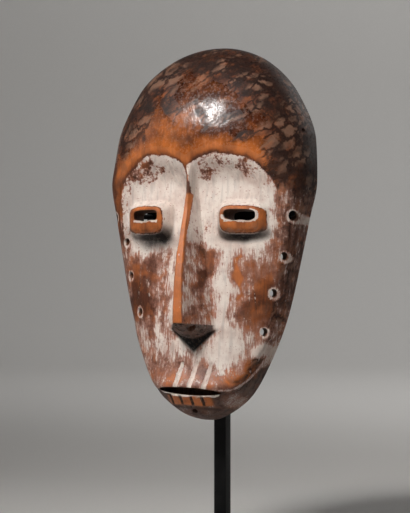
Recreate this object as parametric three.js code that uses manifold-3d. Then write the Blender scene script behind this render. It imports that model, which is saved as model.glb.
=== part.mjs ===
// A carved wooden mask with a heart-shaped face, held on a steel post that stands on a steel plate.
// Millimetres, +Z up, the face looks along -Y. The origin is the middle of the plate's underside.
import * as THREE from 'three';
import { mergeVertices } from 'three/addons/utils/BufferGeometryUtils.js';
import Module from 'manifold-3d';

const { degToRad, smoothstep, lerp } = THREE.MathUtils;

// Driving dimensions of the mask
const MASK_HEIGHT = 291;
const MASK_WIDTH = 167;
const FOREHEAD_DEPTH = 53;
const RIM_WIDTH = 8;
const CHIN_RIM = 17;
const WALL = 9;
const HOLLOW_ROUND = { chin: 24, top: 12 };
const LEAN = degToRad(5);

// The eyes stand out as blocks that face a little outwards and down, with a slot through each
const EYE = { spacing: 79, height: 151.5, turn: degToRad(16), droop: degToRad(8) };
const EYE_BLOCK = { halfWidth: 14.2, halfHeight: 9.2, stand: 8.5, skirt: 9 };
const EYE_SLOT = { halfWidth: 11.7, halfHeight: 4.2, rise: 3.4 };

// The nose is a wedge with a narrow flat ridge, and its wings sit higher than its foot
const NOSE = { tipHeight: 71.5, tipDepth: 64.5, tipHalf: 3.8, rootHalf: 1.2, footHeight: 59 };
const NOSE_WING = { half: 18.5, rootHalf: 4.7, rise: 9 };
const NOSE_BELLY = { across: 0.6, rise: 0.27 };
const NOSTRIL = { radius: 3.4, spread: 5.9, depth: 7 };

// The mouth is a slot a little to one side, with a notched lower lip and three grooves in the upper one
const MOUTH = { halfWidth: 26, halfOpening: 2.6, height: 21.6, recess: 17 };
const MOUTH_LEAN = { shift: -2.5, tilt: 0.035, sag: 1.25 };
const JAW_STEP = 2.4;
const LOWER_LIP = { halfWidth: 24, thickness: 8, stand: 2.2, overlap: 2 };
const LIP_NOTCH = { count: 5, spacing: 9, width: 2.2, depth: 1.5 };
const LIP_STRIPE = { count: 3, spacing: 12, halfWidth: 2.1, length: 20, depth: 1.4, lean: 3.6 };

// Drilled holes along the edge, each placed by its distance in from the side and its height.
// Left and right are as seen from the front
const CORD_HOLE_RADIUS = 3;
const LEFT_UPPER_HOLE = { inset: 12.5, height: 136 };
const LEFT_MIDDLE_HOLE = { inset: 11.5, height: 110 };
const LEFT_LOWER_HOLE = { inset: 14.5, height: 82 };
const RIGHT_UPPER_HOLE = { inset: 4.3, height: 125.5 };
const RIGHT_MIDDLE_HOLE = { inset: 6.3, height: 97.5 };
const RIGHT_LOWER_HOLE = { inset: 5.7, height: 68 };
const PEG_HOLE = { inset: 3.4, height: 156, radius: 3.8 };
const SMALL_HOLE = { inset: 2.6, height: 222, radius: 1.6 };
const CHIN_HOLE = { height: 6.5, radius: 2.2, rise: 0.7 };
const HOLE_TURN = degToRad(42);

// Driving dimensions of the stand
const PLATE = { width: 130, depth: 110, thickness: 12, bevel: 1 };
const POST_SIZE = 10;
const POST_BACK = 24;
const CHIN_CLEARANCE = 100;
const MASK_FORWARD = 5;
const CROSS_BAR = { halfLength: 62, height: 13, thickness: 3.5 };
const PEG_RADIUS = 2;
const BUMPER_RADIUS = 2.5;
const CONTACT_GAP = 0.4;

// How finely the solids are faceted
const FACE_GRID = { columns: 36, rows: 52 };
const HOLLOW_GRID = { columns: 22, rows: 30 };
const ROUND_SIDES = 12;
const OUTLINE_SIDES = 24;
const LIP_STEPS = 16;

const wasm = await Module();
wasm.setup();

// A smooth curve through a table of [place, value] rows that never swings past them
function smoothCurve(table) {
  const steps = table.slice(1).map((row, i) => row[0] - table[i][0]);
  const slopes = table.slice(1).map((row, i) => (row[1] - table[i][1]) / steps[i]);
  const tangents = table.map((row, i) => {
    if (i === 0) return slopes[0];
    if (i === table.length - 1) return slopes[i - 1];
    const [before, after] = [slopes[i - 1], slopes[i]];
    if (before * after <= 0) return 0;
    const [a, b] = [steps[i - 1], steps[i]];
    return (3 * (a + b)) / ((2 * b + a) / before + (b + 2 * a) / after);
  });
  return (place) => {
    const at = Math.min(Math.max(place, table[0][0]), table[table.length - 1][0]);
    let i = 0;
    while (i < steps.length - 1 && at > table[i + 1][0]) i += 1;
    const t = (at - table[i][0]) / steps[i];
    return (1 + 2 * t) * (1 - t) ** 2 * table[i][1] + t * (1 - t) ** 2 * steps[i] * tangents[i]
      + t * t * (3 - 2 * t) * table[i + 1][1] + t * t * (t - 1) * steps[i] * tangents[i + 1];
  };
}

// A size along the mask's height, in shares of both. Its squares are smoothed, so its ends are round
function alongMask(size, table) {
  const squares = smoothCurve(table.map(([place, value]) => [place, value * value]));
  return (z) => size * Math.sqrt(Math.max(0, squares(z / MASK_HEIGHT)));
}

const halfWidth = alongMask(MASK_WIDTH / 2, [[0, 0], [0.024, 0.245], [0.067, 0.425], [0.153, 0.595],
  [0.28, 0.76], [0.447, 0.881], [0.54, 0.94], [0.632, 0.998], [0.742, 0.976], [0.866, 0.796], [0.964, 0.455],
  [1, 0]]);

// How far the middle stands out, over the brow and forehead and over the hollow face
const lowerFace = [[0, 0], [0.017, 0.49], [0.038, 0.62], [0.062, 0.7], [0.086, 0.755], [0.113, 0.7],
  [0.144, 0.657], [0.19, 0.67], [0.34, 0.72]];
const browDepth = alongMask(FOREHEAD_DEPTH, [...lowerFace, [0.515, 0.75], [0.591, 0.835], [0.643, 0.925],
  [0.684, 0.975], [0.74, 1], [0.808, 0.953], [0.876, 0.82], [0.931, 0.62], [0.973, 0.385], [1, 0]]);
const faceDepth = alongMask(FOREHEAD_DEPTH, [...lowerFace, [0.515, 0.72], [0.6, 0.73], [0.643, 0.765],
  [0.684, 0.85], [0.74, 0.96], [1, 1]]);

// The shape of a level cut: how early it falls away from the middle, and how square its edges are
const crownPower = smoothCurve([[0, 2.4], [0.07, 2.8], [0.155, 2.6], [0.3, 2.3], [0.45, 2.7], [0.53, 3.2],
  [0.6, 3], [0.69, 2.4], [0.81, 2.3], [0.91, 2.5], [1, 2.4]]);
const edgePower = smoothCurve([[0, 2.8], [0.07, 3.3], [0.155, 3.7], [0.3, 3.8], [0.45, 4.2], [0.53, 4.4],
  [0.6, 3.9], [0.69, 2.8], [0.81, 2.3], [0.91, 2.6], [1, 2.4]]);

// The heart-shaped face lies under two brow arches that meet in a point over the nose
const ARCH = { x: 0.093, z: 0.55, halfWidth: 0.155, height: 0.158, fadeFrom: 0.45 };

function insideHeart(x, z) {
  const across = (Math.abs(x) / MASK_HEIGHT - ARCH.x) / ARCH.halfWidth;
  const above = Math.max(0, z / MASK_HEIGHT - ARCH.z) / ARCH.height;
  const reach = Math.hypot(above > 0 ? across : Math.max(0, across), above);
  return 1 - smoothstep(reach, ARCH.fadeFrom, 1);
}

// The mouth's edge runs on past its corners as a crease that climbs ever steeper to the rim
const CREASE = { start: 1.1, climb: 0.2, turn: 24, fadeFrom: 0.2, fadeTo: 0.38 };

function creaseLift(x, z) {
  const past = Math.max(0, Math.abs(x) - CREASE.start * MOUTH.halfWidth);
  const lift = past * (CREASE.climb + past / CREASE.turn);
  return lift * (1 - smoothstep(z / MASK_HEIGHT, CREASE.fadeFrom, CREASE.fadeTo));
}

// Under the crease the jaw is set back, most of all below the mouth
function jawSetBack(level, z) {
  const half = MOUTH.halfOpening / 2;
  const below = 1 - smoothstep(level, MOUTH.height - half, MOUTH.height + half);
  const aboveChin = smoothstep(level, 0, CHIN_RIM);
  return JAW_STEP * below * aboveChin * (1 - smoothstep(z / MASK_HEIGHT, CREASE.fadeFrom, CREASE.fadeTo));
}

// How far the carved face stands in front of the rim, without the eyes, nose and lower lip
function frontDepth(x, z) {
  const share = Math.min(1, Math.abs(x) / Math.max(halfWidth(z), Number.EPSILON));
  const level = z - creaseLift(x, z);
  const middle = lerp(browDepth(level), faceDepth(level), insideHeart(x, z)) - jawSetBack(level, z);
  return middle * (1 - share ** crownPower(z / MASK_HEIGHT)) ** (1 / edgePower(z / MASK_HEIGHT));
}

// A closed solid through rings of points with as many points each
function ringsGeometry(rings) {
  const count = rings[0].length;
  const centre = (ring) => ring.reduce((sum, p) => sum.add(p), new THREE.Vector3()).divideScalar(count);
  const points = [...rings.flat(), centre(rings[0]), centre(rings[rings.length - 1])];
  const [first, last] = [points.length - 2, points.length - 1];
  const faces = [];
  for (let r = 0; r < rings.length; r += 1) {
    for (let i = 0; i < count; i += 1) {
      const [a, b] = [r * count + i, r * count + ((i + 1) % count)];
      if (r === 0) faces.push([first, b, a]);
      if (r === rings.length - 1) faces.push([last, a, b]);
      else faces.push([a, b, b + count], [a, b + count, a + count]);
    }
  }
  const geometry = new THREE.BufferGeometry();
  geometry.setAttribute('position', new THREE.Float32BufferAttribute(points.flatMap((p) => p.toArray()), 3));
  geometry.setIndex(faces.flat());
  return geometry;
}

// A solid for joining and cutting, with shared corners merged and its faces turned outwards
function solidOf(geometry) {
  const bare = geometry.clone();
  bare.deleteAttribute('normal');
  bare.deleteAttribute('uv');
  const merged = mergeVertices(bare, 1e-4);
  const { position } = merged.attributes;
  const corner = (i) => new THREE.Vector3().fromBufferAttribute(position, i);
  const triangles = [];
  let volume = 0;
  for (let i = 0; i < merged.index.count; i += 3) {
    const [a, b, c] = [0, 1, 2].map((k) => merged.index.getX(i + k));
    const hasArea = a !== b && b !== c && c !== a;
    if (hasArea) triangles.push([a, b, c]);
    volume += corner(a).dot(corner(b).cross(corner(c)));
  }
  const outward = volume < 0 ? triangles.map(([a, b, c]) => [a, c, b]) : triangles;
  return new wasm.Manifold(new wasm.Mesh({
    numProp: 3,
    vertProperties: new Float32Array(position.array),
    triVerts: new Uint32Array(outward.flat()),
  }));
}

function geometryOf(solid) {
  const mesh = solid.getMesh();
  const geometry = new THREE.BufferGeometry();
  geometry.setAttribute('position', new THREE.Float32BufferAttribute(mesh.vertProperties, 3));
  geometry.setIndex([...mesh.triVerts]);
  geometry.computeVertexNormals();
  return geometry;
}

const joined = (solids) => solids.reduce((whole, solid) => whole.add(solid));
const mirroredPair = (make) => [make(-1), make(1)];
const several = (count, make) => Array.from({ length: count }, (_, i) => make(i));
const fromMiddle = (index, count) => index - (count - 1) / 2;

// Heights of the level cuts, somewhat closer together towards the round ends
function levels(count, low, high) {
  return several(count + 1, (k) => {
    const even = k / count;
    return lerp(low, high, (even + (1 - Math.cos(Math.PI * even)) / 2) / 2);
  });
}

// Places across a level cut from edge to edge, closer together at the steep sides
const columns = (count) => several(count + 1, (i) => Math.sin(Math.PI * (i / count - 0.5)));

function outerSolid() {
  const rings = levels(FACE_GRID.rows, 0, MASK_HEIGHT).map((z) => columns(FACE_GRID.columns).map((share) => {
    const x = share * halfWidth(z);
    return new THREE.Vector3(x, -frontDepth(x, z), z);
  }));
  return solidOf(ringsGeometry(rings));
}

// The back is hollowed to an even wall, inside a flat rim that is wider under the chin
const hollowTop = MASK_HEIGHT - RIM_WIDTH;

function hollowFade(z) {
  const inside = Math.min(1, (z - CHIN_RIM) / HOLLOW_ROUND.chin, (hollowTop - z) / HOLLOW_ROUND.top);
  return inside > 0 ? inside * (2 - inside) : 0;
}

const hollowHalfWidth = (z) => (halfWidth(z) - RIM_WIDTH) * Math.sqrt(hollowFade(z));

function hollowDepth(x, z) {
  const power = 3;
  const share = Math.min(1, Math.abs(x) / Math.max(hollowHalfWidth(z), Number.EPSILON));
  const middle = Math.max(0, Math.min(browDepth(z), faceDepth(z)) - WALL) * hollowFade(z);
  return middle * (1 - share ** power) ** (1 / power);
}

function hollowSolid() {
  const open = MASK_WIDTH;
  const rings = levels(HOLLOW_GRID.rows, CHIN_RIM, hollowTop).map((z) => {
    const edge = hollowHalfWidth(z);
    const inner = columns(HOLLOW_GRID.columns).map((share) => {
      const x = share * edge;
      return new THREE.Vector3(x, -hollowDepth(x, z), z);
    });
    return [...inner, new THREE.Vector3(edge, open, z), new THREE.Vector3(-edge, open, z)];
  });
  return solidOf(ringsGeometry(rings));
}

// An outline with rounded corners, seen from the front, whose depth is given for each place
function roundedRing(centre, half, depthAt, power) {
  return several(OUTLINE_SIDES, (i) => {
    const angle = (2 * Math.PI * i) / OUTLINE_SIDES;
    const bend = (value) => Math.sign(value) * Math.abs(value) ** (2 / power);
    const x = centre.x + half.x * bend(Math.cos(angle));
    const z = centre.z + half.z * bend(Math.sin(angle));
    return new THREE.Vector3(x, -depthAt(x, z), z);
  });
}

const eyeX = (side) => (side * EYE.spacing) / 2;

function eyeFrontDepth(x, z, side) {
  const base = frontDepth(eyeX(side), EYE.height) + EYE_BLOCK.stand;
  return base - (x - eyeX(side)) * side * Math.tan(EYE.turn) + (z - EYE.height) * Math.tan(EYE.droop);
}

// Each row of the skirt gives its spread and how far it has risen from the face to the block's front
const SKIRT_ROWS = [[1, 0], [0.58, 0.45], [0.21, 0.8], [0, 1]];

function eyeBlock(side) {
  const centre = { x: eyeX(side), z: EYE.height };
  const rings = SKIRT_ROWS.map(([spread, risen]) => {
    const grow = spread * EYE_BLOCK.skirt;
    const half = { x: EYE_BLOCK.halfWidth + grow, z: EYE_BLOCK.halfHeight + grow };
    const depthAt = (x, z) => lerp(frontDepth(x, z) - WALL / 2, eyeFrontDepth(x, z, side), risen);
    return roundedRing(centre, half, depthAt, 4);
  });
  return solidOf(ringsGeometry(rings));
}

function eyeSlot(side) {
  const centre = { x: eyeX(side), z: EYE.height + EYE_SLOT.rise };
  const half = { x: EYE_SLOT.halfWidth, z: EYE_SLOT.halfHeight };
  const ringAt = (depth) => roundedRing(centre, half, () => depth, 3);
  return solidOf(ringsGeometry([ringAt(-RIM_WIDTH), ringAt(2 * FOREHEAD_DEPTH)]));
}

// The nose's ridge rises from between the brows to the tip, thin at first and then widening
const noseRoot = 0.68 * MASK_HEIGHT;
const noseThinEnd = 0.59 * MASK_HEIGHT;
const ridgeRise = smoothCurve([[0, 0], [0.2, -0.06], [0.35, 0.16], [0.56, 0.57], [0.8, 0.96], [0.95, 1],
  [1, 0.96]]);
const NOSE_FLANK = { across: 0.55, out: 0.62 };

const ridgeDepth = (z) => lerp(
  frontDepth(0, noseRoot),
  NOSE.tipDepth,
  ridgeRise((noseRoot - z) / (noseRoot - NOSE.tipHeight)),
);

function noseSection(z, wingDrop, foot) {
  const widening = Math.max(0, (noseThinEnd - z) / (noseThinEnd - NOSE.tipHeight));
  const ridge = lerp(NOSE.rootHalf, NOSE.tipHalf, widening);
  const wing = lerp(NOSE_WING.rootHalf, NOSE_WING.half, widening);
  const wingZ = z - wingDrop;
  const base = frontDepth(wing, wingZ);
  const flank = [lerp(ridge, wing, NOSE_FLANK.across), lerp(ridgeDepth(z), base, NOSE_FLANK.out)];
  const flankZ = lerp(z, wingZ, NOSE_FLANK.out);
  const bellyZ = lerp(foot, wingZ, NOSE_BELLY.rise);
  const right = [
    [ridge, ridgeDepth(z), z],
    [...flank, flankZ],
    [wing, base, wingZ],
    [wing, base - WALL / 2, wingZ],
    [wing * NOSE_BELLY.across, frontDepth(0, bellyZ) - WALL / 2, bellyZ],
  ];
  const left = right.map(([x, depth, height]) => [-x, depth, height]).reverse();
  return [...left, ...right, [0, frontDepth(0, foot) - WALL / 2, foot]]
    .map(([x, depth, height]) => new THREE.Vector3(x, -depth, height));
}

function noseSolid() {
  const wingDrop = NOSE.tipHeight - NOSE.footHeight - NOSE_WING.rise;
  const heights = [0, 0.1, 0.2, 0.32, 0.45, 0.6, 0.75, 0.9].map((t) => lerp(noseRoot, NOSE.tipHeight, t));
  const sections = heights.map((z) => noseSection(z, 0, z));
  return solidOf(ringsGeometry([...sections, noseSection(NOSE.tipHeight, wingDrop, NOSE.footHeight)]));
}

// A round bar or hole between two points
function bar(from, to, radius) {
  const along = new THREE.Vector3().subVectors(to, from);
  const upright = new THREE.Vector3(0, 1, 0);
  const turn = new THREE.Quaternion().setFromUnitVectors(upright, along.clone().normalize());
  const geometry = new THREE.CylinderGeometry(radius, radius, along.length(), ROUND_SIDES);
  const middle = from.clone().addScaledVector(along, 0.5);
  return solidOf(geometry.applyQuaternion(turn).translate(...middle.toArray()));
}

// The nostrils are drilled up into the middle of the nose's underside
function nostril(side) {
  const depth = lerp(frontDepth(0, NOSE.footHeight), NOSE.tipDepth, 0.55);
  const underside = lerp(NOSE.footHeight, NOSE.tipHeight, 0.5);
  const mouth = new THREE.Vector3(side * NOSTRIL.spread, -depth, underside - 1);
  return bar(mouth, mouth.clone().add(new THREE.Vector3(0, 0, NOSTRIL.depth)), NOSTRIL.radius);
}

const mouthLine = (x) => MOUTH.height - MOUTH_LEAN.tilt * x;
const mouthArch = (x) => MOUTH.halfOpening * Math.sqrt(Math.max(0, 1 - (x / MOUTH.halfWidth) ** 2));

function mouthSlot() {
  const across = several(LIP_STEPS + 1, (i) => ((2 * i) / LIP_STEPS - 1) * MOUTH.halfWidth);
  const corner = (x, rise, depth) => new THREE.Vector3(x + MOUTH_LEAN.shift, -depth, mouthLine(x) + rise);
  const ringAt = (depth) => [
    ...across.map((x) => corner(x, mouthArch(x), depth)),
    ...across.slice(1, -1).reverse().map((x) => corner(x, -MOUTH_LEAN.sag * mouthArch(x), depth)),
  ];
  const back = faceDepth(MOUTH.height) - MOUTH.recess;
  return solidOf(ringsGeometry([ringAt(back), ringAt(2 * FOREHEAD_DEPTH)]));
}

// The lower lip is thickest in the middle. Each row is a share down it, how far out it is, and its sink
const LIP_ROWS = [[0, 0, WALL / 2], [0, 0.7, 0], [0.5, 1, 0], [1, 0.3, 0], [1, 0, WALL / 2]];
const LIP_END_SHARE = 0.14;

function lowerLip() {
  const sections = several(LIP_STEPS + 1, (i) => {
    const share = (2 * i) / LIP_STEPS - 1;
    const along = share * LOWER_LIP.halfWidth;
    const x = along + MOUTH_LEAN.shift;
    const top = mouthLine(along) - MOUTH.halfOpening + LOWER_LIP.overlap;
    const full = Math.max(LIP_END_SHARE, Math.sqrt(1 - share * share));
    return LIP_ROWS.map(([down, out, sink]) => {
      const z = top - down * LOWER_LIP.thickness * full;
      return new THREE.Vector3(x, -(frontDepth(x, z) + out * LOWER_LIP.stand * full - sink), z);
    });
  });
  return solidOf(ringsGeometry(sections));
}

function lipNotch(index) {
  const x = fromMiddle(index, LIP_NOTCH.count) * LIP_NOTCH.spacing;
  const z = MOUTH.height - LOWER_LIP.thickness / 2;
  const box = new THREE.BoxGeometry(LIP_NOTCH.width, 2 * LIP_NOTCH.depth, 1.4 * LOWER_LIP.thickness);
  return solidOf(box.translate(x, -frontDepth(x, z) - LOWER_LIP.stand, z));
}

// A groove that tapers as it runs up from the mouth. Each row is a place along it and its width there
const STRIPE_ROWS = [[-0.1, 0.7], [0.1, 0.95], [0.35, 1], [0.7, 0.8], [1, 0.45]];

function lipStripe(index) {
  const foot = MOUTH.height + MOUTH.halfOpening;
  const sections = STRIPE_ROWS.map(([share, width]) => {
    const z = foot + share * LIP_STRIPE.length;
    const x = fromMiddle(index, LIP_STRIPE.count) * LIP_STRIPE.spacing + share * LIP_STRIPE.lean;
    const half = LIP_STRIPE.halfWidth * width;
    const proud = frontDepth(x, z) + LIP_STRIPE.depth;
    const edge = frontDepth(x, z) - LIP_STRIPE.depth / 2;
    const bottom = frontDepth(x, z) - LIP_STRIPE.depth;
    return [[-half, proud], [half, proud], [half, edge], [0, bottom], [-half, edge]]
      .map(([across, depth]) => new THREE.Vector3(x + across, -depth, z));
  });
  return solidOf(ringsGeometry(sections));
}

// A hole drilled through the side wall, turned outwards
function holePlace(side, { inset, height }) {
  const x = side * (halfWidth(height) - inset);
  return new THREE.Vector3(x, -frontDepth(x, height), height);
}

const holeDirection = (side) => new THREE.Vector3(side * Math.sin(HOLE_TURN), -Math.cos(HOLE_TURN), 0);

function sideHole(side, hole, radius) {
  const place = holePlace(side, hole);
  const reach = (length) => place.clone().addScaledVector(holeDirection(side), length);
  return bar(reach(-2.6 * WALL), reach(1.5 * WALL), radius);
}

// The chin's hole runs back and up into the hollow
function chinHole() {
  const place = new THREE.Vector3(0, -frontDepth(0, CHIN_HOLE.height), CHIN_HOLE.height);
  const inward = new THREE.Vector3(0, 1, CHIN_HOLE.rise).normalize();
  const reach = (length) => place.clone().addScaledVector(inward, length);
  return bar(reach(-WALL), reach(1.75 * CHIN_RIM), CHIN_HOLE.radius);
}

const LEFT_CORD_HOLES = [LEFT_UPPER_HOLE, LEFT_MIDDLE_HOLE, LEFT_LOWER_HOLE];
const RIGHT_CORD_HOLES = [RIGHT_UPPER_HOLE, RIGHT_MIDDLE_HOLE, RIGHT_LOWER_HOLE];

function maskSolid() {
  const body = joined([outerSolid(), ...mirroredPair(eyeBlock), noseSolid(), lowerLip()]);
  const cuts = [
    hollowSolid(),
    mouthSlot(),
    chinHole(),
    ...mirroredPair(eyeSlot),
    ...mirroredPair(nostril),
    ...several(LIP_NOTCH.count, lipNotch),
    ...several(LIP_STRIPE.count, lipStripe),
    ...LEFT_CORD_HOLES.map((hole) => sideHole(-1, hole, CORD_HOLE_RADIUS)),
    ...RIGHT_CORD_HOLES.map((hole) => sideHole(1, hole, CORD_HOLE_RADIUS)),
    ...mirroredPair((side) => sideHole(side, PEG_HOLE, PEG_HOLE.radius)),
    ...mirroredPair((side) => sideHole(side, SMALL_HOLE, SMALL_HOLE.radius)),
  ];
  return body.subtract(joined(cuts));
}

// The mask leans back on the stand, with its chin over the plate
const maskPlace = new THREE.Matrix4()
  .makeTranslation(0, -MASK_FORWARD, PLATE.thickness + CHIN_CLEARANCE)
  .multiply(new THREE.Matrix4().makeRotationX(-LEAN));
const standing = (x, depth, z) => new THREE.Vector3(x, -depth, z).applyMatrix4(maskPlace);

const postFront = POST_BACK - MASK_FORWARD - POST_SIZE / 2;
const crossBarZ = standing(0, 0, PEG_HOLE.height).z;

// Each peg leaves the end of the cross bar, bends outwards and carries the mask in its peg hole
function peg(side) {
  const height = PEG_HOLE.height + PEG_HOLE.radius - PEG_RADIUS - CONTACT_GAP;
  const mouth = holePlace(side, PEG_HOLE);
  const inHole = (length) => {
    const place = mouth.clone().addScaledVector(holeDirection(side), length);
    return standing(place.x, -place.y, height);
  };
  const rootX = side * (CROSS_BAR.halfLength - 2 * PEG_RADIUS);
  const rootZ = inHole(-1.7 * WALL).z;
  const root = new THREE.Vector3(rootX, postFront - CROSS_BAR.thickness / 2, rootZ);
  const bend = new THREE.Vector3(rootX, postFront - CROSS_BAR.thickness - PEG_RADIUS, rootZ);
  const path = [root, bend, inHole(-1.5 * WALL), inHole(-PEG_RADIUS / 2)];
  const section = new THREE.Shape().absarc(0, 0, PEG_RADIUS, 0, 2 * Math.PI);
  return solidOf(new THREE.ExtrudeGeometry(section, {
    steps: 10,
    curveSegments: ROUND_SIDES / 2,
    bevelEnabled: false,
    extrudePath: new THREE.CatmullRomCurve3(path, false, 'centripetal'),
  }));
}

function block(low, high) {
  const size = high.map((value, i) => value - low[i]);
  const middle = high.map((value, i) => (value + low[i]) / 2);
  return solidOf(new THREE.BoxGeometry(...size).translate(...middle));
}

function standSolid() {
  const half = POST_SIZE / 2;
  const barHalf = CROSS_BAR.height / 2;
  const postTop = crossBarZ + CROSS_BAR.height;
  const post = block(
    [-half, postFront, PLATE.thickness + CONTACT_GAP],
    [half, postFront + POST_SIZE, postTop],
  );
  const crossBar = block(
    [-CROSS_BAR.halfLength, postFront - CROSS_BAR.thickness, crossBarZ - barHalf],
    [CROSS_BAR.halfLength, postFront + CONTACT_GAP, crossBarZ + barHalf],
  );
  const chinBack = standing(0, -CONTACT_GAP, CHIN_RIM / 2);
  const bumper = bar(chinBack, new THREE.Vector3(0, postFront + half, chinBack.z), BUMPER_RADIUS);
  return joined([post, crossBar, bumper, ...mirroredPair(peg)]);
}

function plateGeometry() {
  const { width, depth, thickness, bevel } = PLATE;
  const [x, y] = [width / 2 - bevel, depth / 2 - bevel];
  const corners = [[-x, -y], [x, -y], [x, y], [-x, y]];
  const shape = new THREE.Shape(corners.map(([across, back]) => new THREE.Vector2(across, back)));
  const geometry = new THREE.ExtrudeGeometry(shape, {
    depth: thickness - 2 * bevel, bevelThickness: bevel, bevelSize: bevel, bevelSegments: 1,
  });
  return geometry.translate(0, 0, bevel);
}

const wood = new THREE.MeshStandardMaterial({ color: 0x9a5a34, roughness: 0.55, metalness: 0 });
const blackSteel = new THREE.MeshStandardMaterial({ color: 0x111112, roughness: 0.5, metalness: 0.3 });

function namedMesh(name, geometry, material) {
  const mesh = new THREE.Mesh(geometry, material);
  mesh.name = name;
  return mesh;
}

const mask = namedMesh('mask', geometryOf(maskSolid()), wood);
mask.applyMatrix4(maskPlace);

const group = new THREE.Group();
group.add(
  mask,
  namedMesh('stand_post', geometryOf(standSolid()), blackSteel),
  namedMesh('stand_plate', plateGeometry(), blackSteel),
);

export default group;
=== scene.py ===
import math
from functools import partial

import bmesh
import bpy
import numpy as np
from bpy.props import FloatProperty, FloatVectorProperty, PointerProperty
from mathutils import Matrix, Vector
from mathutils.geometry import interpolate_bezier


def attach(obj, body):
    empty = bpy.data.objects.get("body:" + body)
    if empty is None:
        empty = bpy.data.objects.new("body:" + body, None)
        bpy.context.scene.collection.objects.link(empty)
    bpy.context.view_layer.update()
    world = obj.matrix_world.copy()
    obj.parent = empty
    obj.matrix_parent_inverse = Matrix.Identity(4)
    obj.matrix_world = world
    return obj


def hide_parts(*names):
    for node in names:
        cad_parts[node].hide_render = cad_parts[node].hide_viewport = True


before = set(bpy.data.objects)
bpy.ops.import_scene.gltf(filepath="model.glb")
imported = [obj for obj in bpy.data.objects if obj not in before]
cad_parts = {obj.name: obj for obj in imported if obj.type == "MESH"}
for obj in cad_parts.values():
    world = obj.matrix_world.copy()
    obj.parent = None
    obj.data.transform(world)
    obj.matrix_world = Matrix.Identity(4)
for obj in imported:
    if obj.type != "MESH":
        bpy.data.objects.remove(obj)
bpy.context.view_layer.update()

bl_info = {
    "name": "Carved mask on a stand",
    "version": (1, 0, 0),
    "blender": (4, 5, 0),
    "location": "3D View > Sidebar > Carved Mask",
    "description": "Carves a hollow wooden mask with worn kaolin, and welds its black steel stand",
    "category": "Add Mesh",
}

MM = 0.001

# The carving, in millimetres of the mask's own frame: x across, depth towards the viewer, z up
LEAN = math.radians(5)
MASK_FORWARD = 5
CHIN_RIM = 17
HOLLOW_ROUND = {"chin": 24, "top": 12}
EYE_TURN = math.radians(16)
EYE_DROOP = math.radians(8)
EYE_BLOCK = {"half_width": 14.2, "half_height": 9.2, "stand": 8.5, "skirt": 9, "edge": 0.7}
SLOT_RISE, SLOT_POWER = 3.4, 3.4
NOSE = {"tip_half": 3.8, "root_half": 1.2, "foot": 59, "wing_half": 18.5, "wing_root": 4.7, "wing_rise": 9}
NOSE_BELLY = {"across": 0.6, "rise": 0.27}
NOSTRIL = {"radius": 3.4, "spread": 5.9, "depth": 7}
MOUTH = {"half_opening": 2.6, "height": 21.6, "recess": 17, "shift": -2.5, "tilt": 0.035, "sag": 1.25}
LOWER_LIP = {"half_width": 24, "thickness": 8, "stand": 2.2, "overlap": 2}
LIP_NOTCH = {"count": 5, "spacing": 9, "width": 2.2, "depth": 1.5}
LIP_STRIPE = {"count": 3, "spacing": 12, "half_width": 2.1, "length": 20, "depth": 1.4, "lean": 3.6}
CORD_HOLE_RADIUS = 3
CORD_HOLES = {-1: ((12.5, 136), (11.5, 110), (14.5, 82)), 1: ((4.3, 125.5), (6.3, 97.5), (5.7, 68))}
PEG_HOLE = {"inset": 3.4, "height": 156, "radius": 3.8}
SMALL_HOLE = {"inset": 2.6, "height": 222, "radius": 1.6}
CHIN_HOLE = {"height": 6.5, "radius": 2.2, "rise": 0.7}
HOLE_TURN = math.radians(42)

# The stand, in millimetres
POST_BACK = 24
CHIN_CLEARANCE = 100
CROSS_BAR = {"half_length": 62, "height": 13, "thickness": 3.5}
PEG_RADIUS = 2
BUMPER_RADIUS = 2.5
CONTACT_GAP = 0.4
BAR_EDGE = 0.6
WELD_RADIUS = {"plate": 1.2, "bar": 1.1, "bumper": 0.9}


def length(name, description, millimetres):
    return FloatProperty(name=name, description=description, default=millimetres * MM, min=0.0001,
                         subtype="DISTANCE", unit="LENGTH", precision=4)


def linear(code):
    """A colour written as sRGB hex, turned to linear red, green and blue."""
    shares = [int(code[i:i + 2], 16) / 255 for i in (1, 3, 5)]
    return tuple(s / 12.92 if s <= 0.04045 else ((s + 0.055) / 1.055) ** 2.4 for s in shares)


def colour(name, description, code):
    return FloatVectorProperty(name=name, description=description, default=linear(code), min=0, max=1,
                               subtype="COLOR", size=3)


class MaskSizes(bpy.types.PropertyGroup):
    height: length("Height", "From the chin to the top of the head", 291)
    width: length("Width", "Across the widest place, above the eyes", 167)
    forehead_depth: length("Forehead depth", "From the rim's plane to the front of the forehead", 53)
    wall: length("Wall", "Thickness of the wood between face and hollow", 9)
    rim_width: length("Rim width", "Width of the flat rim around the hollow", 8)
    eye_spacing: length("Eye spacing", "Between the middles of the eyes", 79)
    eye_height: length("Eye height", "Middle of the eye blocks above the chin", 151.5)
    slot_width: length("Eye slot width", "Width of the slot through each eye", 23.4)
    slot_height: length("Eye slot height", "Height of the slot through each eye", 8.4)
    nose_tip_height: length("Nose tip height", "Tip of the nose above the chin", 71.5)
    nose_depth: length("Nose depth", "From the rim's plane to the tip of the nose", 64.5)
    mouth_width: length("Mouth width", "From corner to corner of the mouth", 52)
    tool_mark: length("Tool mark depth", "Depth of the shallow facets that the adze and knife left", 0.28)


class StandSizes(bpy.types.PropertyGroup):
    post: length("Post", "Side of the square bar", 10)
    plate_width: length("Plate width", "Width of the plate", 130)
    plate_depth: length("Plate depth", "Depth of the plate, front to back", 110)
    plate_thickness: length("Plate thickness", "Thickness of the plate", 12)
    bevel: length("Bevel", "Width of the softened edges of the bars and plate", 1)


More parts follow.
